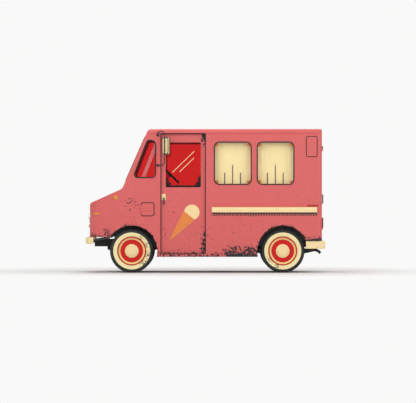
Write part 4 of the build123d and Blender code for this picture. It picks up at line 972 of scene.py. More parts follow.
class NodeRecipe:
    """A Geometry Nodes tree built by short calls, which turns a guide mesh into a plain piece."""

    def __init__(self, name: str, numbers: dict[str, float]) -> None:
        """Start a tree with a geometry input, some named sizes and a finish.

        Args:
            name: The tree's name.
            numbers: The named sizes with their defaults.
        """
        self.tree = bpy.data.node_groups.new(name, "GeometryNodeTree")
        sockets = self.tree.interface
        sockets.new_socket("Geometry", in_out="INPUT", socket_type="NodeSocketGeometry")
        for label, value in numbers.items():
            sockets.new_socket(label, in_out="INPUT", socket_type="NodeSocketFloat").default_value = value
        sockets.new_socket("Finish", in_out="INPUT", socket_type="NodeSocketMaterial")
        sockets.new_socket("Geometry", in_out="OUTPUT", socket_type="NodeSocketGeometry")
        self.given = self.tree.nodes.new("NodeGroupInput").outputs

    def add(self, kind: str, **values: Any) -> bpy.types.Node:
        """Add a node and set or link its inputs by name.

        Args:
            kind: The node's type without its GeometryNode prefix, or the full type.
            **values: Inputs by name, with underscores for spaces.

        Returns:
            The node.
        """
        full = kind if "Node" in kind else f"GeometryNode{kind}"
        node = self.tree.nodes.new(full)
        for label, value in values.items():
            socket = node.inputs[label.replace("_", " ")]
            if isinstance(value, bpy.types.NodeSocket):
                self.tree.links.new(value, socket)
            else:
                socket.default_value = value
        return node

    def close(self, shape: Any) -> None:
        """End the tree in Realize Instances and Set Material.

        Args:
            shape: The output that holds the finished shape.
        """
        real = self.add("RealizeInstances", Geometry=shape)
        dressed = self.add("SetMaterial", Geometry=real.outputs[0], Material=self.given["Finish"])
        out = self.tree.nodes.new("NodeGroupOutput")
        self.tree.links.new(dressed.outputs[0], out.inputs[0])

    def bake(
        self, name: str, guide: bpy.types.Mesh, finish: bpy.types.Material, **numbers: float
    ) -> bpy.types.Object:
        """Run the tree on a guide mesh and keep the result as a plain mesh.

        Args:
            name: The piece's name.
            guide: The mesh that the tree starts from.
            finish: The piece's material.
            **numbers: Sizes by name, with underscores for spaces.

        Returns:
            The piece.
        """
        piece = collect(name, guide)
        modifier = piece.modifiers.new("recipe", "NODES")
        modifier.node_group = self.tree
        given = {label.replace("_", " "): value for label, value in numbers.items()} | {"Finish": finish}
        for item in self.tree.interface.items_tree:
            if item.in_out == "INPUT" and item.name in given:
                modifier[item.identifier] = given[item.name]
        keep_shape(piece)
        return piece


def path_mesh(name: str, paths: Sequence[Sequence[Point]], closed: bool) -> bpy.types.Mesh:
    """A guide mesh of edges along some paths.

    Args:
        name: The mesh's name.
        paths: Each path's points.
        closed: Whether each path joins its ends.

    Returns:
        The mesh.
    """
    points: list[Point] = []
    edges: list[tuple[int, int]] = []
    for path in paths:
        first = len(points)
        points += path
        edges += [(first + i, first + i + 1) for i in range(len(path) - 1)]
        if closed:
            edges.append((first + len(path) - 1, first))
    mesh = bpy.data.meshes.new(name)
    mesh.from_pydata(points, edges, [])
    return mesh


def rounded_outline(corners: Sequence[Corner], steps: int = 8) -> Outline:
    """The points round a polygon whose corners are arcs.

    Args:
        corners: Each corner's place and radius, in order round the polygon.
        steps: Chords in each arc.

    Returns:
        The outline's points.
    """
    outline: Outline = []
    for i, (u, v, radius) in enumerate(corners):
        here = Vector((u, v))
        back = (Vector(corners[i - 1][:2]) - here).normalized()
        on = (Vector(corners[(i + 1) % len(corners)][:2]) - here).normalized()
        half = math.acos(max(-1.0, min(1.0, back.dot(on)))) / 2
        centre = here + (back + on).normalized() * (radius / math.sin(half))
        start = here + back * (radius / math.tan(half)) - centre
        end = here + on * (radius / math.tan(half)) - centre
        turn = start.angle_signed(end)
        for step in range(steps + 1):
            arm = start.copy()
            arm.rotate(Matrix.Rotation(-turn * step / steps, 2))
            outline.append(tuple(centre + arm))
    return outline


def box_outline(u0: float, u1: float, v0: float, v1: float, radius: float) -> Outline:
    """The points round a rectangle with round corners."""
    return rounded_outline([(u0, v0, radius), (u1, v0, radius), (u1, v1, radius), (u0, v1, radius)])


def plate_between(
    name: str, back: Sequence[Point], front: Sequence[Point], material: bpy.types.Material
) -> bpy.types.Object:
    """A closed plate between two outlines.

    Args:
        name: The piece's name.
        back: The outline of its back.
        front: The outline of its front, point for point.
        material: The piece's material.

    Returns:
        The piece.
    """
    shape = bmesh.new()
    rear, fore = ([shape.verts.new(point) for point in ring] for ring in (back, front))
    shape.faces.new(rear)
    shape.faces.new(fore)
    for i in range(len(rear)):
        shape.faces.new((rear[i - 1], rear[i], fore[i], fore[i - 1]))
    return from_bmesh(name, shape, material)


def turn_profile(
    shape: bmesh.types.BMesh, profile: Outline, steps: int, place: Matrix
) -> list[tuple[int, bmesh.types.BMFace]]:
    """Turn a closed profile round an axis.

    Args:
        shape: The bmesh that takes the faces.
        profile: Radius and height of each point, in order round the profile.
        steps: Facets round the axis.
        place: Where the axis stands, as its own Z.

    Returns:
        Each face with the number of the profile's point that its strip starts from.
    """
    rings = []
    for step in range(steps):
        angle = 2 * math.pi * step / steps
        points = [(radius * math.cos(angle), radius * math.sin(angle), height) for radius, height in profile]
        rings.append([shape.verts.new(place @ Vector(point)) for point in points])
    faces = []
    for step, ring in enumerate(rings):
        after = rings[(step + 1) % steps]
        for i in range(len(profile)):
            j = (i + 1) % len(profile)
            faces.append((i, shape.faces.new((ring[i], ring[j], after[j], after[i]))))
    return faces


def rounded_blocks(
    name: str, boxes: Sequence[Box], edge: float, material: bpy.types.Material
) -> bpy.types.Object:
    """A mesh of boxes with rounded edges.

    Args:
        name: The piece's name.
        boxes: Each box's lowest and highest corners.
        edge: The rounding of the edges.
        material: The piece's material.

    Returns:
        The piece.
    """
    shape = bmesh.new()
    for low, high in boxes:
        size = Vector(high) - Vector(low)
        place = Matrix.Translation((Vector(low) + Vector(high)) / 2) @ Matrix.Diagonal((*size, 1.0))
        made = bmesh.ops.create_cube(shape, size=1.0, matrix=place)
        edges = list({side for corner in made["verts"] for side in corner.link_edges})
        bmesh.ops.bevel(shape, geom=edges, offset=edge, segments=4, profile=0.5, affect="EDGES")
    return from_bmesh(name, shape, material)


@dataclass
class Seals:
    """Rubber and trim swept along the edges of windows, doors, hatches, tail lamps and the fuel flap."""

    finishes: Finishes
    window_bead: float = 0.011
    door_bead: float = 0.0085
    door_sink: float = 0.004
    trim_bead: float = 0.007
    trim_sink: float = 0.003
    hatch_bead: float = 0.009
    hatch_lift: float = 0.002
    lamp_lift: float = 0.003
    flap_bead: float = 0.007
    flap_hinge_half: float = 0.08
    door: Opening = Opening(-0.004, 0.803, 0.342, 2.506, 0.02)
    hatch: Opening = Opening(-2.009, -1.82, 2.093, 2.453, 0.027)
    fuel_flap: Opening = Opening(0.923, 1.161, 1.026, 1.264, 0.04)
    rear_pane: Opening = Opening(0.13, 0.57, 1.56, 2.26, 0.06)
    tail_lamp: Opening = Opening(0.78, 0.88, 0.81, 0.99, 0.012)
    screen_pane: Opening = Opening(0.034, 0.826, -0.428, 0.428, 0.07)
    screen_foot: Point = (1.499, 0.0, 1.516)
    screen_head: Point = (1.026, 0.0, 2.592)
    quarter_corners: tuple[Corner, ...] = (
        (0.896, 1.715, 0.075), (1.305, 1.715, 0.06), (1.045, 2.387, 0.055), (0.896, 2.387, 0.085),
    )
    recipe: NodeRecipe = field(init=False)

    def __post_init__(self) -> None:
        """Build the tree that sweeps a round bead along a guide."""
        self.recipe = NodeRecipe("rubber_bead", {"Radius": self.window_bead})
        curve = self.recipe.add("MeshToCurve", Mesh=self.recipe.given["Geometry"])
        bead = self.recipe.add("CurvePrimitiveCircle", Resolution=10, Radius=self.recipe.given["Radius"])
        swept = self.recipe.add(
            "CurveToMesh", Curve=curve.outputs[0], Profile_Curve=bead.outputs[0], Fill_Caps=True
        )
        smooth = self.recipe.add("SetShadeSmooth", Geometry=swept.outputs[0])
        self.recipe.close(smooth.outputs[0])

    def lay(
        self, name: str, body: str, paths: Sequence[Sequence[Point]], radius: float,
        finish: bpy.types.Material | None = None, closed: bool = True,
    ) -> None:
        """Sweep one bead along some paths and ride it on a body.

        Args:
            name: The piece's name.
            body: The body that carries it.
            paths: The paths that the bead follows.
            radius: The bead's radius.
            finish: The bead's material, seal rubber unless given.
            closed: Whether the paths join their ends.
        """
        guide = path_mesh(f"{name}_guide", paths, closed)
        piece = self.recipe.bake(name, guide, finish or self.finishes.seal, Radius=radius)
        settle(piece, body)

    def along_side(self, ring: Outline, side: Side, out: float) -> list[Point]:
        """An outline in X and Z, set on one side of the truck."""
        return [(x, side.value * out, z) for x, z in ring]

    def across_rear(self, opening: Opening, side: Side, x: float) -> list[Point]:
        """An opening's edge in Y and Z, set on one half of the truck's rear."""
        return [(x, side.value * out, z) for out, z in opening.ring()]

    def side_paths(self, side: Side) -> list[list[Point]]:
        """The side windows' and quarter window's edges.

        Args:
            side: The truck's side.

        Returns:
            One path for each window.
        """
        rings = [window.ring() for window in PLAN.side_windows]
        rings.append(rounded_outline(self.quarter_corners))
        return [self.along_side(ring, side, PLAN.half_width) for ring in rings]

    def screen_paths(self) -> list[list[Point]]:
        """The two windscreen panes' edges on the sloping screen.

        Returns:
            One path for each pane.
        """
        low, high = Vector(self.screen_foot), Vector(self.screen_head)
        up = (high - low).normalized()
        middle = (low + high) / 2
        return [
            [tuple(middle + up * v + Vector((0.0, side.value * u, 0.0))) for u, v in self.screen_pane.ring()]
            for side in Side
        ]

    def flap_path(self) -> list[Point]:
        """Round the fuel flap from one side of its hinge to the other.

        Returns:
            The path.
        """
        flap = self.fuel_flap
        ring = flap.ring()
        half = len(ring) // 2
        middle = (flap.low + flap.high) / 2
        above, below = ((flap.end, middle + step) for step in (self.flap_hinge_half, -self.flap_hinge_half))
        return self.along_side([above, *ring[half:], *ring[:half], below], Side.LEFT, PLAN.half_width)

    def build(self) -> None:
        """Make every seal and ride it on the body that carries it."""
        windows = [path for side in Side for path in self.side_paths(side)]
        self.lay("window_seals", "root", windows, self.window_bead)
        self.lay("windscreen_seals", "root", self.screen_paths(), self.window_bead)
        self.lay("fuel_flap_seal", "root", [self.flap_path()], self.flap_bead, closed=False)
        openings, hatches, gaskets = [], [], []
        for side in Side:
            word = side.word
            trim = self.along_side(PLAN.door_pane.ring(), side, PLAN.door_face_y - self.trim_sink)
            self.lay(f"cab_door_trim_{word}", f"cab_door_{word}", [trim], self.trim_bead, self.finishes.body)
            pane = self.across_rear(self.rear_pane, side, PLAN.rear_x)
            self.lay(f"rear_door_seal_{word}", f"rear_door_{word}", [pane], self.window_bead)
            openings.append(self.along_side(self.door.ring(), side, PLAN.half_width - self.door_sink))
            hatches.append(self.along_side(self.hatch.ring(), side, PLAN.half_width + self.hatch_lift))
            gaskets.append(self.across_rear(self.tail_lamp, side, PLAN.rear_x - self.lamp_lift))
        self.lay("tail_lamp_gaskets", "root", gaskets, self.window_bead)
        self.lay("door_opening_seals", "root", openings, self.door_bead)
        self.lay("hatch_seals", "root", hatches, self.hatch_bead)


@dataclass
class Mirrors:
    """Silvered glass and black edges on each outside mirror."""

    finishes: Finishes
    seals: Seals
    rod: Point = (0.737, 1.092, 2.283)
    turn: float = math.radians(40)
    face_back: float = 0.061
    half_width: float = 0.085
    half_height: float = 0.152
    corner: float = 0.03
    glass_inset: float = 0.012
    glass_thickness: float = 0.002
    edge_bead: float = 0.008
    edge_lift: float = 0.009
    front_bead: float = 0.0085
    front_back: float = 0.024
    front_inset: float = 0.009

    def place(self, side: Side, back: float, across: float, up: float) -> Point:
        """A point on the turned head.

        Args:
            side: The truck's side.
            back: How far behind the rod.
            across: How far along the head's width.
            up: How far above its middle.

        Returns:
            The point.
        """
        cosine, sine = math.cos(self.turn), math.sin(self.turn)
        x = self.rod[0] - back * cosine - across * sine
        y = self.rod[1] - back * sine + across * cosine
        return x, side.value * y, self.rod[2] + up

    def outline(self, side: Side, back: float, inset: float, corner: float) -> list[Point]:
        """An outline across the turned head.

        Args:
            side: The truck's side.
            back: How far behind the rod.
            inset: How far inside the head's edge.
            corner: The outline's corner radius.

        Returns:
            The points round it.
        """
        wide, tall = self.half_width - inset, self.half_height - inset
        return [self.place(side, back, u, v) for u, v in box_outline(-wide, wide, -tall, tall, corner)]

    def build(self) -> None:
        """Finish both mirrors."""
        edges = {
            "mirror_rims": (self.face_back - self.edge_lift, 0.0, self.edge_bead),
            "mirror_front_edges": (self.front_back, self.front_inset, self.front_bead),
        }
        for name, (back, inset, bead) in edges.items():
            paths = [self.outline(side, back, inset, self.corner) for side in Side]
            self.seals.lay(name, "root", paths, bead)
        half = self.glass_thickness / 2
        for side in Side:
            faces = [
                self.outline(side, self.face_back + step, self.glass_inset, self.corner - self.glass_inset)
                for step in (-half, half)
            ]
            plate = plate_between(f"mirror_glass_{side.word}", *faces, self.finishes.mirror)
            settle(plate, "root")


@dataclass
class WheelWrap:
    """A padded black wrap round the steering wheel's rim."""

    seals: Seals
    centre: Point = (0.64, 0.42, 1.78)
    radius: float = 0.21
    tilt: float = math.radians(45)
    wrap: float = 0.0205
    steps: int = 64

    def build(self) -> None:
        """Wrap the rim."""
        across = Vector((0.0, 1.0, 0.0))
        up = Vector((math.sin(self.tilt), 0.0, math.cos(self.tilt)))
        path = []
        for step in range(self.steps):
            angle = 2 * math.pi * step / self.steps
            point = Vector(self.centre) + self.radius * (across * math.cos(angle) + up * math.sin(angle))
            path.append(tuple(point))
        self.seals.lay("steering_wheel_wrap", "steering_wheel", [path], self.wrap)


@dataclass
class Fasteners:
    """Domed rivets along the seams, screws on the rub rails and bolts on the bumpers."""

    finishes: Finishes
    rivet: float = 0.005
    screw: float = 0.007
    bolt: float = 0.013
    seam_z: float = 2.538
    seam_rear_x: float = -2.03
    seam_front_x: float = 0.95
    seam_rivets: int = 26
    post_y: float = 0.83
    post_low_z: float = 1.1
    post_high_z: float = 2.36
    post_rivets: int = 11
    rail_y: float = 1.011
    rail_z: float = 1.1355
    rail_rear_x: float = -1.96
    rail_front_x: float = -0.165
    rail_screws: int = 9
    bolt_places: tuple[float, ...] = (0.35, 0.55)
    bumper_face_x: float = 2.158
    front_bolt_z: float = 0.581
    rear_bolt_z: float = 0.503
    recipe: NodeRecipe = field(init=False)

    def __post_init__(self) -> None:
        """Build the tree that sets a round head on every guide point."""
        self.recipe = NodeRecipe("round_heads", {"Radius": self.rivet})
        points = self.recipe.add("MeshToPoints", Mesh=self.recipe.given["Geometry"])
        head = self.recipe.add("MeshUVSphere", Segments=10, Rings=6, Radius=self.recipe.given["Radius"])
        heads = self.recipe.add("InstanceOnPoints", Points=points.outputs[0], Instance=head.outputs[0])
        smooth = self.recipe.add("SetShadeSmooth", Geometry=heads.outputs[0])
        self.recipe.close(smooth.outputs[0])

    def row(self, first: Point, last: Point, count: int) -> list[Point]:
        """Points evenly spaced from first to last."""
        start, step = Vector(first), (Vector(last) - Vector(first)) / (count - 1)
        return [tuple(start + step * i) for i in range(count)]

    def set_heads(
        self, name: str, points: list[Point], radius: float, finish: bpy.types.Material
    ) -> None:
        """Set heads of one size on the root body.

        Args:
            name: The piece's name.
            points: Where the heads sit.
            radius: The heads' radius.
            finish: The heads' material.
        """
        guide = bpy.data.meshes.new(f"{name}_guide")
        guide.from_pydata(points, [], [])
        settle(self.recipe.bake(name, guide, finish, Radius=radius), "root")

    def build(self) -> None:
        """Set every row."""
        seams, rails, bolts = [], [], []
        for side in Side:
            y = side.value * PLAN.half_width
            ends = [(x, y, self.seam_z) for x in (self.seam_rear_x, self.seam_front_x)]
            seams += self.row(*ends, self.seam_rivets)
            y = side.value * self.post_y
            ends = [(PLAN.rear_x, y, z) for z in (self.post_low_z, self.post_high_z)]
            seams += self.row(*ends, self.post_rivets)
            y = side.value * self.rail_y
            ends = [(x, y, self.rail_z) for x in (self.rail_rear_x, self.rail_front_x)]
            rails += self.row(*ends, self.rail_screws)
            for across in self.bolt_places:
                bolts.append((self.bumper_face_x, side.value * across, self.front_bolt_z))
                bolts.append((-self.bumper_face_x, side.value * across, self.rear_bolt_z))
        self.set_heads("seam_rivets", seams, self.rivet, self.finishes.body)
        self.set_heads("rail_screws", rails, self.screw, self.finishes.cream)
        self.set_heads("bumper_bolts", bolts, self.bolt, self.finishes.chrome)


@dataclass
class Tyres:
    """Whitewall tyres: a turned carcass with grooves, and tread blocks set round it."""

    finishes: Finishes
    tread_radius: float = 0.393
    groove: float = 0.008
    half_width: float = 0.0965
    bead_radius: float = 0.2475
    bead_half: float = 0.062
    white_low: float = 0.262
    white_high: float = 0.333
    around: int = 120
    blocks: int = 66
    block_length: float = 0.0315
    block_width: float = 0.0215
    block_height: float = 0.01
    block_sink: float = 0.0052
    ribs: tuple[float, ...] = (-0.054, -0.027, 0.0, 0.027, 0.054)

    def profile(self) -> list[tuple[float, float, Strip]]:
        """The carcass from the inner bead to the outer one.

        Returns:
            Radius, place along the axle and the finish of the strip that follows.
        """
        base = self.tread_radius - self.groove
        outer = [
            (base, 0.069, Strip.BLACK),
            (base - 0.004, 0.079, Strip.BLACK),
            (0.366, 0.089, Strip.BLACK),
            (self.white_high + 0.004, 0.0945, Strip.BLACK),
            (self.white_high, self.half_width, Strip.WHITE),
            (0.31, self.half_width, Strip.WHITE),
            (0.285, 0.088, Strip.WHITE),
            (self.white_low, 0.073, Strip.BLACK),
            (self.white_low - 0.004, 0.0705, Strip.BLACK),
            (self.bead_radius, self.bead_half, Strip.BLACK),
        ]
        inner = [(radius, -place, Strip.BLACK) for radius, place, _ in reversed(outer)]
        return inner + outer

    def carcass(self, name: str, end: End, side: Side) -> bpy.types.Object:
        """Turn the profile round one end of an axle.

        Args:
            name: The piece's name.
            end: The truck's end.
            side: The truck's side.

        Returns:
            The carcass.
        """
        shape = bmesh.new()
        profile = self.profile()
        place = Matrix((
            (1.0, 0.0, 0.0, PLAN.axle_x(end)),
            (0.0, 0.0, side.value, side.value * PLAN.wheel_y),
            (0.0, 1.0, 0.0, PLAN.axle_z),
            (0.0, 0.0, 0.0, 1.0),
        ))
        outline = [(radius, along) for radius, along, _ in profile]
        for strip, face in turn_profile(shape, outline, self.around, place):
            face.material_index = profile[strip][2].value
            face.smooth = True
        return from_bmesh(name, shape, self.finishes.tyre, self.finishes.whitewall)

    def tread_recipe(self) -> NodeRecipe:
        """Build the tree that sets rows of blocks round a wheel whose axle lies along Y.

        Returns:
            The tree's recipe.
        """
        sizes = {
            "Radius": self.tread_radius - self.block_sink, "Length": self.block_length,
            "Width": self.block_width, "Height": self.block_height, "Count": float(self.blocks),
        }
        recipe = NodeRecipe("tread_blocks", sizes | {"X": PLAN.front_axle_x, "Y": PLAN.wheel_y})
        ring = recipe.add("CurvePrimitiveCircle", Resolution=256, Radius=recipe.given["Radius"])
        count = recipe.add("FunctionNodeFloatToInt", Float=recipe.given["Count"])
        points = recipe.add("CurveToPoints", Curve=ring.outputs[0], Count=count.outputs[0])
        height, width, length = (recipe.given[label] for label in ("Height", "Width", "Length"))
        size = recipe.add("ShaderNodeCombineXYZ", X=height, Y=width, Z=length)
        block = recipe.add("MeshCube", Size=size.outputs[0])
        joined = recipe.add("JoinGeometry")
        for row, place in enumerate(self.ribs):
            instances = recipe.add(
                "InstanceOnPoints", Points=points.outputs["Points"], Instance=block.outputs[0],
                Rotation=points.outputs["Rotation"],
            )
            turned = recipe.add("Transform", Geometry=instances.outputs[0], Rotation=(math.pi / 2, 0.0, 0.0))
            stagger = (row % 2) * math.pi / self.blocks
            spun = recipe.add(
                "Transform", Geometry=turned.outputs[0], Rotation=(0.0, stagger, 0.0),
                Translation=(0.0, place, 0.0),
            )
            recipe.tree.links.new(spun.outputs[0], joined.inputs[0])
        where = recipe.add("ShaderNodeCombineXYZ", X=recipe.given["X"], Y=recipe.given["Y"], Z=PLAN.axle_z)
        placed = recipe.add("Transform", Geometry=joined.outputs[0], Translation=where.outputs[0])
        recipe.close(placed.outputs[0])
        return recipe

    def build(self) -> None:
        """Make four tyres, each riding on its wheel and standing for its CAD node."""
        recipe = self.tread_recipe()
        for end in End:
            for side in Side:
                corner = f"{end.word}_{side.word}"
                carcass = self.carcass(f"tyre_carcass_{corner}", end, side)
                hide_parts(f"tyre_{corner}")
                settle(carcass, f"wheel_{corner}")
                tread = recipe.bake(
                    f"tyre_tread_{corner}", bpy.data.meshes.new("tread_guide"), self.finishes.tyre,
                    X=PLAN.axle_x(end), Y=side.value * PLAN.wheel_y,
                )
                settle(tread, f"wheel_{corner}")


@dataclass
class Curtains:
    """Cotton curtains gathered under their boards behind the side windows, with three deep folds each."""

    finishes: Finishes
    lap: float = 0.025
    low_z: float = 1.546
    high_z: float = 2.414
    cloth_y: float = 0.825
    ripple: float = 0.0022
    ripple_pitch: float = 0.085
    hem_calm: float = 0.55
    folds: tuple[tuple[float, float], ...] = ((0.212, 1.806), (0.3535, 1.944), (0.495, 1.806))
    fold_depth: float = 0.0075
    fold_half: float = 0.007
    fold_fade: float = 0.12
    columns: int = 260
    rows: int = 24

    def offset(self, along: float, z: float) -> float:
        """How far the cloth stands out of its plane at a place.

        Args:
            along: How far behind its front edge.
            z: The place's height.

        Returns:
            The step outwards.
        """
        drop = (self.high_z - z) / (self.high_z - self.low_z)
        wave = self.ripple * math.sin(2 * math.pi * along / self.ripple_pitch) * (1.0 - self.hem_calm * drop)
        for at, top in self.folds:
            fade = max(0.0, min(1.0, (top - z) / self.fold_fade))
            wave -= self.fold_depth * fade * math.exp(-(((along - at) / self.fold_half) ** 2))
        return wave

    def sheet(self, name: str, x0: float, x1: float, side: Side) -> bpy.types.Object:
        """Hang one curtain.

        Args:
            name: The piece's name.
            x0: Rear edge.
            x1: Front edge.
            side: The truck's side.

        Returns:
            The sheet.
        """
        shape = bmesh.new()
        grid = []
        for row in range(self.rows + 1):
            z = self.low_z + (self.high_z - self.low_z) * row / self.rows
            line = []
            for column in range(self.columns + 1):
                along = (x1 - x0) * column / self.columns
                y = side.value * (self.cloth_y + self.offset(along, z))
                line.append(shape.verts.new((x1 - along, y, z)))
            grid.append(line)
        for lower, upper in zip(grid, grid[1:]):
            for i in range(self.columns):
                face = shape.faces.new((lower[i], lower[i + 1], upper[i + 1], upper[i]))
                face.smooth = True
        return from_bmesh(name, shape, self.finishes.curtain)

    def build(self) -> None:
        """Hang four curtains."""
        for side in Side:
            for end, window in zip(End, PLAN.side_windows):
                rear_x, front_x = window.start - self.lap, window.end + self.lap
                piece = self.sheet(f"curtain_{end.word}_{side.word}", rear_x, front_x, side)
                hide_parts("curtains")
                settle(piece, "root")


@dataclass
class ConeSign:
    """A plain ice cream cone in thin sheet on each cab door."""

    finishes: Finishes
    scoop_x: float = 0.243
    scoop_z: float = 1.091
    scoop_radius: float = 0.138
    mouth_drop: float = 0.0725
    mouth_half: float = 0.128
    tip_x: float = 0.635
    tip_z: float = 0.6
    tip_half: float = 0.01
    thickness: float = 0.003
    lift: float = 0.0005
    arc_steps: int = 48

    def plate(
        self, name: str, ring: Sequence[Vector], side: Side, finish: bpy.types.Material
    ) -> bpy.types.Object:
        """A thin plate on the door's face.

        Args:
            name: The piece's name.
            ring: The plate's outline in X and Z.
            side: The truck's side.
            finish: The plate's material.

        Returns:
            The plate.
        """
        back_y = PLAN.door_face_y + self.lift
        faces = [[(x, side.value * y, z) for x, z in ring] for y in (back_y, back_y + self.thickness)]
        return plate_between(name, *faces, finish)

    def build(self) -> None:
        """Make the scoop and the cone on both doors."""
        centre = Vector((self.scoop_x, self.scoop_z))
        tip = Vector((self.tip_x, self.tip_z))
        along = (tip - centre).normalized()
        across = Vector((-along.y, along.x))
        mouth = centre + along * self.mouth_drop
        cut = math.acos(self.mouth_drop / self.scoop_radius)
        heading = math.atan2(along.y, along.x)
        dome = []
        for step in range(self.arc_steps + 1):
            angle = heading + cut + (2 * math.pi - 2 * cut) * step / self.arc_steps
            dome.append(centre + self.scoop_radius * Vector((math.cos(angle), math.sin(angle))))
        wafer = [mouth + across * self.mouth_half, mouth - across * self.mouth_half]
        wafer += [tip - across * self.tip_half, tip + across * self.tip_half]
        for side in Side:
            scoop = self.plate(f"cone_scoop_{side.word}", dome, side, self.finishes.sign_cream)
            settle(scoop, f"cab_door_{side.word}")
            cone = self.plate(f"cone_wafer_{side.word}", wafer, side, self.finishes.sign_orange)
            settle(cone, f"cab_door_{side.word}")


@dataclass
class DriverSeat:
    """A vinyl cushion and back, stuffed until their covers swell, with piping round their edges."""

    finishes: Finishes
    seals: Seals
    slack: float = 0.011
    corner: float = 0.024
    voxel: float = 0.007
    pressure: float = 4.0
    swell: float = 0.012
    frames: int = 20
    piping: float = 0.005
    cushion: Box = ((0.222, 0.202, 1.081), (0.658, 0.638, 1.188))
    back: Box = ((0.152, 0.207, 1.191), (0.233, 0.633, 1.518))

    def stuff(self, piece: bpy.types.Object, low: Vector, high: Vector) -> None:
        """Blow a pad up inside its box by cloth simulation and keep the result.

        Args:
            piece: The pad, a little smaller than its box.
            low: The box's lowest corner.
            high: The box's highest corner.
        """
        remesh = piece.modifiers.new("skin", "REMESH")
        remesh.mode = "VOXEL"
        remesh.voxel_size = self.voxel
        keep_shape(piece)
        before = [vertex.co.copy() for vertex in piece.data.vertices]
        cloth = piece.modifiers.new("stuffing", "CLOTH")
        cloth.settings.use_pressure = True
        cloth.settings.uniform_pressure_force = self.pressure
        cloth.settings.effector_weights.gravity = 0.0
        for frame in range(1, self.frames + 1):
            bpy.context.scene.frame_set(frame)
        keep_shape(piece)
        bpy.context.scene.frame_set(1)
        for vertex, start in zip(piece.data.vertices, before):
            move = vertex.co - start
            if move.length > self.swell:
                move = move.normalized() * self.swell
            vertex.co = Vector(min(max(value, a), b) for value, a, b in zip(start + move, low, high))

    def core(self, box: Box) -> Box:
        """A pad's box, drawn in by the slack that the stuffing takes up.

        Args:
            box: The box's lowest and highest corners.

        Returns:
            The smaller box.
        """
        slack = Vector((self.slack,) * 3)
        return tuple(Vector(box[0]) + slack), tuple(Vector(box[1]) - slack)

    def pad(self, name: str, box: Box) -> bpy.types.Object:
        """One pad inside a box.

        Args:
            name: The piece's name.
            box: The box's lowest and highest corners.

        Returns:
            The pad.
        """
        piece = rounded_blocks(name, [self.core(box)], self.corner, self.finishes.vinyl)
        self.stuff(piece, Vector(box[0]), Vector(box[1]))
        for polygon in piece.data.polygons:
            polygon.use_smooth = True
        smooth = piece.modifiers.new("smooth", "SUBSURF")
        smooth.levels = smooth.render_levels = 1
        return piece

    def piping_paths(self) -> list[list[Point]]:
        """The seams round the cushion's top and the back's front.

        Returns:
            One path for each pad.
        """
        (x0, y0, _), (x1, y1, _) = self.core(self.cushion)
        seam_z = self.cushion[1][2] - self.corner
        cushion = [(x, y, seam_z) for x, y in box_outline(x0, x1, y0, y1, self.corner)]
        (_, y0, z0), (_, y1, z1) = self.core(self.back)
        seam_x = self.back[1][0] - self.corner
        back = [(seam_x, y, z) for y, z in box_outline(y0, y1, z0, z1, self.corner)]
        return [cushion, back]

    def build(self) -> None:
        """Make both pads in place of the CAD pads, with their piping."""
        for name, box in (("seat_cushion", self.cushion), ("seat_back", self.back)):
            piece = self.pad(name, box)
            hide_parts("seat_pads")
            settle(piece, "root")
        self.seals.lay("seat_piping", "root", self.piping_paths(), self.piping)


@dataclass
class FreezerTop:
    """Two sliding lids with grips, their side rails and a lower vent on the chest freezer."""

    finishes: Finishes
    rear_x: float = -1.89
    front_x: float = -0.92
    right_y: float = -0.57
    left_y: float = -0.02
    top_z: float = 1.48
    inset: float = 0.012
    gap: float = 0.001
    rail: float = 0.03
    rail_height: float = 0.026
    lid: float = 0.012
    lid_lap: float = 0.03
    grip_inset: float = 0.03
    grip: float = 0.02
    grip_height: float = 0.016
    grip_margin: float = 0.12
    vent_rear_x: float = -1.8
    vent_front_x: float = -1.5
    vent_low_z: float = 0.72
    slats: int = 9
    slat_pitch: float = 0.024
    slat_height: float = 0.012
    slat_depth: float = 0.006

    def build(self) -> None:
        """Make the lids, rails, grips and vent slats."""
        top = self.top_z
        middle = (self.rear_x + self.front_x) / 2
        x0, x1 = self.rear_x + self.inset, self.front_x - self.inset
        y0, y1 = self.right_y + self.inset, self.left_y - self.inset
        rails = [
            ((x0, y0, top), (x1, y0 + self.rail, top + self.rail_height)),
            ((x0, y1 - self.rail, top), (x1, y1, top + self.rail_height)),
        ]
        y0, y1 = y0 + self.rail + self.gap, y1 - self.rail - self.gap
        lids = [
            ((x0, y0, top + self.gap), (middle + self.lid_lap, y1, top + self.lid)),
            ((middle - self.lid_lap, y0, top + self.lid + self.gap), (x1, y1, top + 2 * self.lid)),
        ]
        y0, y1 = y0 + self.grip_margin, y1 - self.grip_margin
        grip_places = (x0 + self.grip_inset, x1 - self.grip_inset - self.grip)
        grips = []
        for x, (_, (_, _, z)) in zip(grip_places, lids):
            grips.append(((x, y0, z), (x + self.grip, y1, z + self.grip_height)))
        slats = []
        for i in range(self.slats):
            z = self.vent_low_z + self.slat_pitch * i
            high = (self.vent_front_x, self.left_y + self.slat_depth, z + self.slat_height)
            slats.append(((self.vent_rear_x, self.left_y, z), high))
        pieces = (
            ("freezer_rails", rails, 0.004, self.finishes.steel, "steel"),
            ("freezer_lids", lids, 0.003, self.finishes.white, "freezer"),
            ("freezer_grips", grips, 0.005, self.finishes.chrome, "chrome"),
            ("freezer_vent", slats, 0.002, self.finishes.steel, "steel"),
        )
        for name, boxes, edge, finish, slot in pieces:
            settle(rounded_blocks(name, boxes, edge, finish), "root")


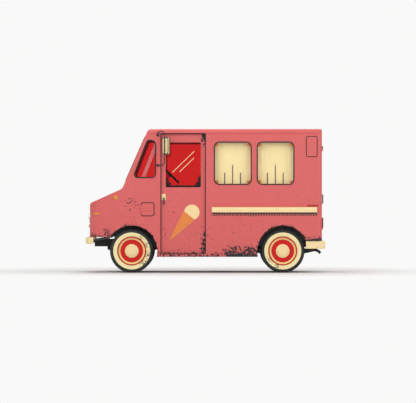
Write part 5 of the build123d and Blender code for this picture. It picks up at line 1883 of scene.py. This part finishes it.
@dataclass
class Gauges:
    """Three round gauges on the sloping face of the dash behind the steering wheel."""

    finishes: Finishes
    face_x: float = 1.1575
    face_z: float = 1.37
    slope: Point = (-0.864, 0.0, 0.504)
    places: tuple[float, ...] = (0.31, 0.42, 0.53)
    radius: float = 0.028
    depth: float = 0.012
    dial_sink: float = 0.004
    pin: float = 0.001
    lip: float = 0.003
    flare: float = 0.002
    segments: int = 40

    def turned(self, name: str, profile: Outline, finish: bpy.types.Material, slot: str) -> None:
        """Turn a closed profile round every gauge's own axis.

        Args:
            name: The piece's name.
            profile: Radius and height above the dash, in order round the profile.
            finish: The piece's material.
            slot: Not used.
        """
        shape = bmesh.new()
        turn = Vector(self.slope).normalized().to_track_quat("Z", "Y").to_matrix().to_4x4()
        for y in self.places:
            place = Matrix.Translation((self.face_x, y, self.face_z)) @ turn
            turn_profile(shape, profile, self.segments, place)
        settle(from_bmesh(name, shape, finish), "root")

    def build(self) -> None:
        """Make the dials, with a needle pin's hole in the middle, and their bright rims."""
        top, face = self.depth, self.depth - self.dial_sink
        inside, outside = self.radius - self.lip, self.radius + self.flare
        dial = [(self.pin, 0.0), (self.pin, face), (inside, face), (inside, 0.0)]
        rim = [(inside, 0.0), (inside, top), (self.radius, top), (outside, top - self.lip), (outside, 0.0)]
        self.turned("gauge_dials", dial, self.finishes.sign_cream, "cream_paint")
        self.turned("gauge_rims", rim, self.finishes.chrome, "chrome")


@dataclass(frozen=True)
class Lamp:
    """A square soft lamp: its name, place, edge in metres and power in watts."""

    name: str
    place: Point
    size: float
    power: float


@dataclass
class Studio:
    """Pale floor, soft lamps and a camera square on to the truck's left side."""

    camera_y: float = 60.0
    camera_x: float = -0.047
    camera_z: float = 1.285
    frame_width: float = 7.488
    near_side_y: float = PLAN.half_width
    sensor: float = 36.0
    floor_size: float = 240.0
    shadow_reach: float = 2.6
    plain_from: float = 5.5
    surround_light: float = 0.4
    background: Colour = (0.95, 0.95, 0.945)
    floor_dark: Colour = (0.88, 0.88, 0.875)
    floor_light: Colour = (0.91, 0.91, 0.905)
    view_end: float = 200.0
    aim: Point = (0.0, 0.0, 1.2)
    lamps: tuple[Lamp, ...] = (
        Lamp("key", (3.5, 7.5, 6.0), 6.0, 280.0),
        Lamp("fill", (-5.0, 7.0, 3.5), 6.0, 150.0),
        Lamp("top", (0.0, 0.0, 8.0), 7.0, 140.0),
        Lamp("far", (1.5, -6.5, 8.5), 4.0, 190.0),
        Lamp("rear", (-8.0, -1.0, 8.0), 4.0, 150.0),
    )

    def seen(self, tree: bpy.types.NodeTree) -> Any:
        """1 on rays from the camera, a mirror or through glass, and 0 on rays that light the truck.

        Args:
            tree: The tree to add the nodes to.

        Returns:
            The output.
        """
        path = tree.nodes.new("ShaderNodeLightPath")
        result = path.outputs["Is Camera Ray"]
        for label in ("Is Glossy Ray", "Is Transmission Ray"):
            larger = tree.nodes.new("ShaderNodeMath")
            larger.operation = "MAXIMUM"
            tree.links.new(result, larger.inputs[0])
            tree.links.new(path.outputs[label], larger.inputs[1])
            result = larger.outputs[0]
        return result

    def floor(self) -> None:
        """Lay a floor that takes the truck's shadow and turns into the plain background further out."""
        w = Wiring("studio_floor")
        w.set(Base_Color=w.mix(w.noise(0.6, 3.0), self.floor_dark, self.floor_light), Roughness=0.9)
        plain = w.tree.nodes.new("ShaderNodeEmission")
        plain.inputs["Color"].default_value = (*self.background, 1.0)
        blend = w.tree.nodes.new("ShaderNodeMixShader")
        far_out = w.ramp(w.length(w.x, w.y), self.shadow_reach, self.plain_from)
        w.feed(blend.inputs[0], w.times(self.seen(w.tree), far_out))
        w.feed(blend.inputs[1], w.shader.outputs[0])
        w.feed(blend.inputs[2], plain.outputs[0])
        w.feed(w.tree.nodes["Material Output"].inputs["Surface"], blend.outputs[0])
        half = self.floor_size / 2
        corner_points = [(-half, -half, 0), (half, -half, 0), (half, half, 0), (-half, half, 0)]
        mesh = bpy.data.meshes.new("studio_floor")
        mesh.from_pydata(corner_points, [], [(0, 1, 2, 3)])
        mesh.materials.append(w.material)
        collect("studio_floor", mesh)

    def lights(self) -> None:
        """Hang the soft lamps in an even surround."""
        world = bpy.data.worlds.new("studio")
        bpy.context.scene.world = world
        world.use_nodes = True
        tree = world.node_tree
        surround = tree.nodes["Background"]
        surround.inputs["Color"].default_value = (*self.background, 1.0)
        surround.inputs["Strength"].default_value = self.surround_light
        plain = tree.nodes.new("ShaderNodeBackground")
        plain.inputs["Color"].default_value = (*self.background, 1.0)
        blend = tree.nodes.new("ShaderNodeMixShader")
        tree.links.new(self.seen(tree), blend.inputs[0])
        tree.links.new(surround.outputs[0], blend.inputs[1])
        tree.links.new(plain.outputs[0], blend.inputs[2])
        tree.links.new(blend.outputs[0], tree.nodes["World Output"].inputs["Surface"])
        for lamp in self.lamps:
            light = bpy.data.lights.new(f"studio_{lamp.name}", "AREA")
            light.size = lamp.size
            light.energy = lamp.power
            hung = bpy.data.objects.new(f"studio_{lamp.name}", light)
            hung.location = lamp.place
            aim = Vector(self.aim) - Vector(lamp.place)
            hung.rotation_euler = aim.to_track_quat("-Z", "Y").to_euler()
            bpy.context.scene.collection.objects.link(hung)

    def camera(self) -> None:
        """Set the camera where the photograph was taken from."""
        data = bpy.data.cameras.new("photo_camera")
        data.sensor_fit = "HORIZONTAL"
        data.sensor_width = self.sensor
        data.lens = self.sensor * (self.camera_y - self.near_side_y) / self.frame_width
        data.clip_end = self.view_end
        camera = bpy.data.objects.new("photo_camera", data)
        camera.location = (self.camera_x, self.camera_y, self.camera_z)
        camera.rotation_euler = (math.pi / 2, 0.0, math.pi)
        bpy.context.scene.collection.objects.link(camera)
        bpy.context.scene.camera = camera

    def build(self) -> None:
        """Set up the whole studio."""
        self.floor()
        self.lights()
        self.camera()
        bpy.context.scene.view_settings.view_transform = "Standard"


@dataclass
class CadFinishes:
    """The material of every CAD node."""

    finishes: Finishes

    def table(self) -> dict[str, bpy.types.Material]:
        """Pair each node with its material.

        Returns:
            The material of each node by name.
        """
        f = self.finishes
        pairs = {
            f.body: "roof_panel windscreen_frame hood cab_side_left cab_side_right nose_panel rear_frame"
                    " fuel_flap vent_hatches firewall",
            f.rear_door: "rear_door_left rear_door_right",
            f.side: "body_side_left body_side_right",
            f.door: "cab_door_left cab_door_right",
            f.cream: "rub_rails mirror_heads grille",
            f.front_bumper: "front_bumper",
            f.rear_bumper: "rear_bumper",
            f.wheel_front: "rim_front_left rim_front_right",
            f.wheel_rear: "rim_rear_left rim_rear_right",
            f.tyre: "tyre_front_left tyre_front_right tyre_rear_left tyre_rear_right",
            f.side_glass: "side_window_glass",
            f.clear_glass: "rear_glass_left rear_glass_right",
            f.cab_glass: "cab_glass",
            f.door_glass: "cab_door_glass_left cab_door_glass_right",
            f.frame_black: "chassis front_axle rear_axle knuckle_left knuckle_right tie_rod fuel_tank"
                           " exhaust",
            f.underseal: "wheelhouses",
            f.black: "door_tracks seat_base mirror_arms steering_wheel curtain_rails",
            f.floor_paint: "floor_pan",
            f.steel: "engine",
            f.chrome: "head_lamp_bezels",
            f.amber: "amber_lamps",
            f.red_lens: "red_lamps",
            f.clear_lens: "head_lamp_lenses",
            f.curtain: "curtains",
            f.vinyl: "seat_pads",
            f.white: "freezer",
        }
        return {node: material for material, names in pairs.items() for node in names.split()}

    def apply(self, frame: dict[str, Any]) -> None:
        """Dress every node.
        """
        table = self.table()
        for node in frame["nodes"]:
            dress(frame, node, table[node])


def corners(box: Any) -> list[list[float]]:
    """A box's two corners as plain lists."""
    return [[float(value) for value in corner] for corner in box]


def main() -> None:
    """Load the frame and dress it."""
    logging.basicConfig(level=logging.INFO, format="%(name)s: %(message)s")
    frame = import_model()
    finishes = Finishes()
    Studio().build()
    CadFinishes(finishes).apply(frame)
    seals = Seals(finishes)
    seals.build()
    Mirrors(finishes, seals).build()
    WheelWrap(seals).build()
    Fasteners(finishes).build()
    Tyres(finishes).build()
    Curtains(finishes).build()
    ConeSign(finishes).build()
    DriverSeat(finishes, seals).build()
    FreezerTop(finishes).build()
    Gauges(finishes).build()


if __name__ == "__main__":
    main()
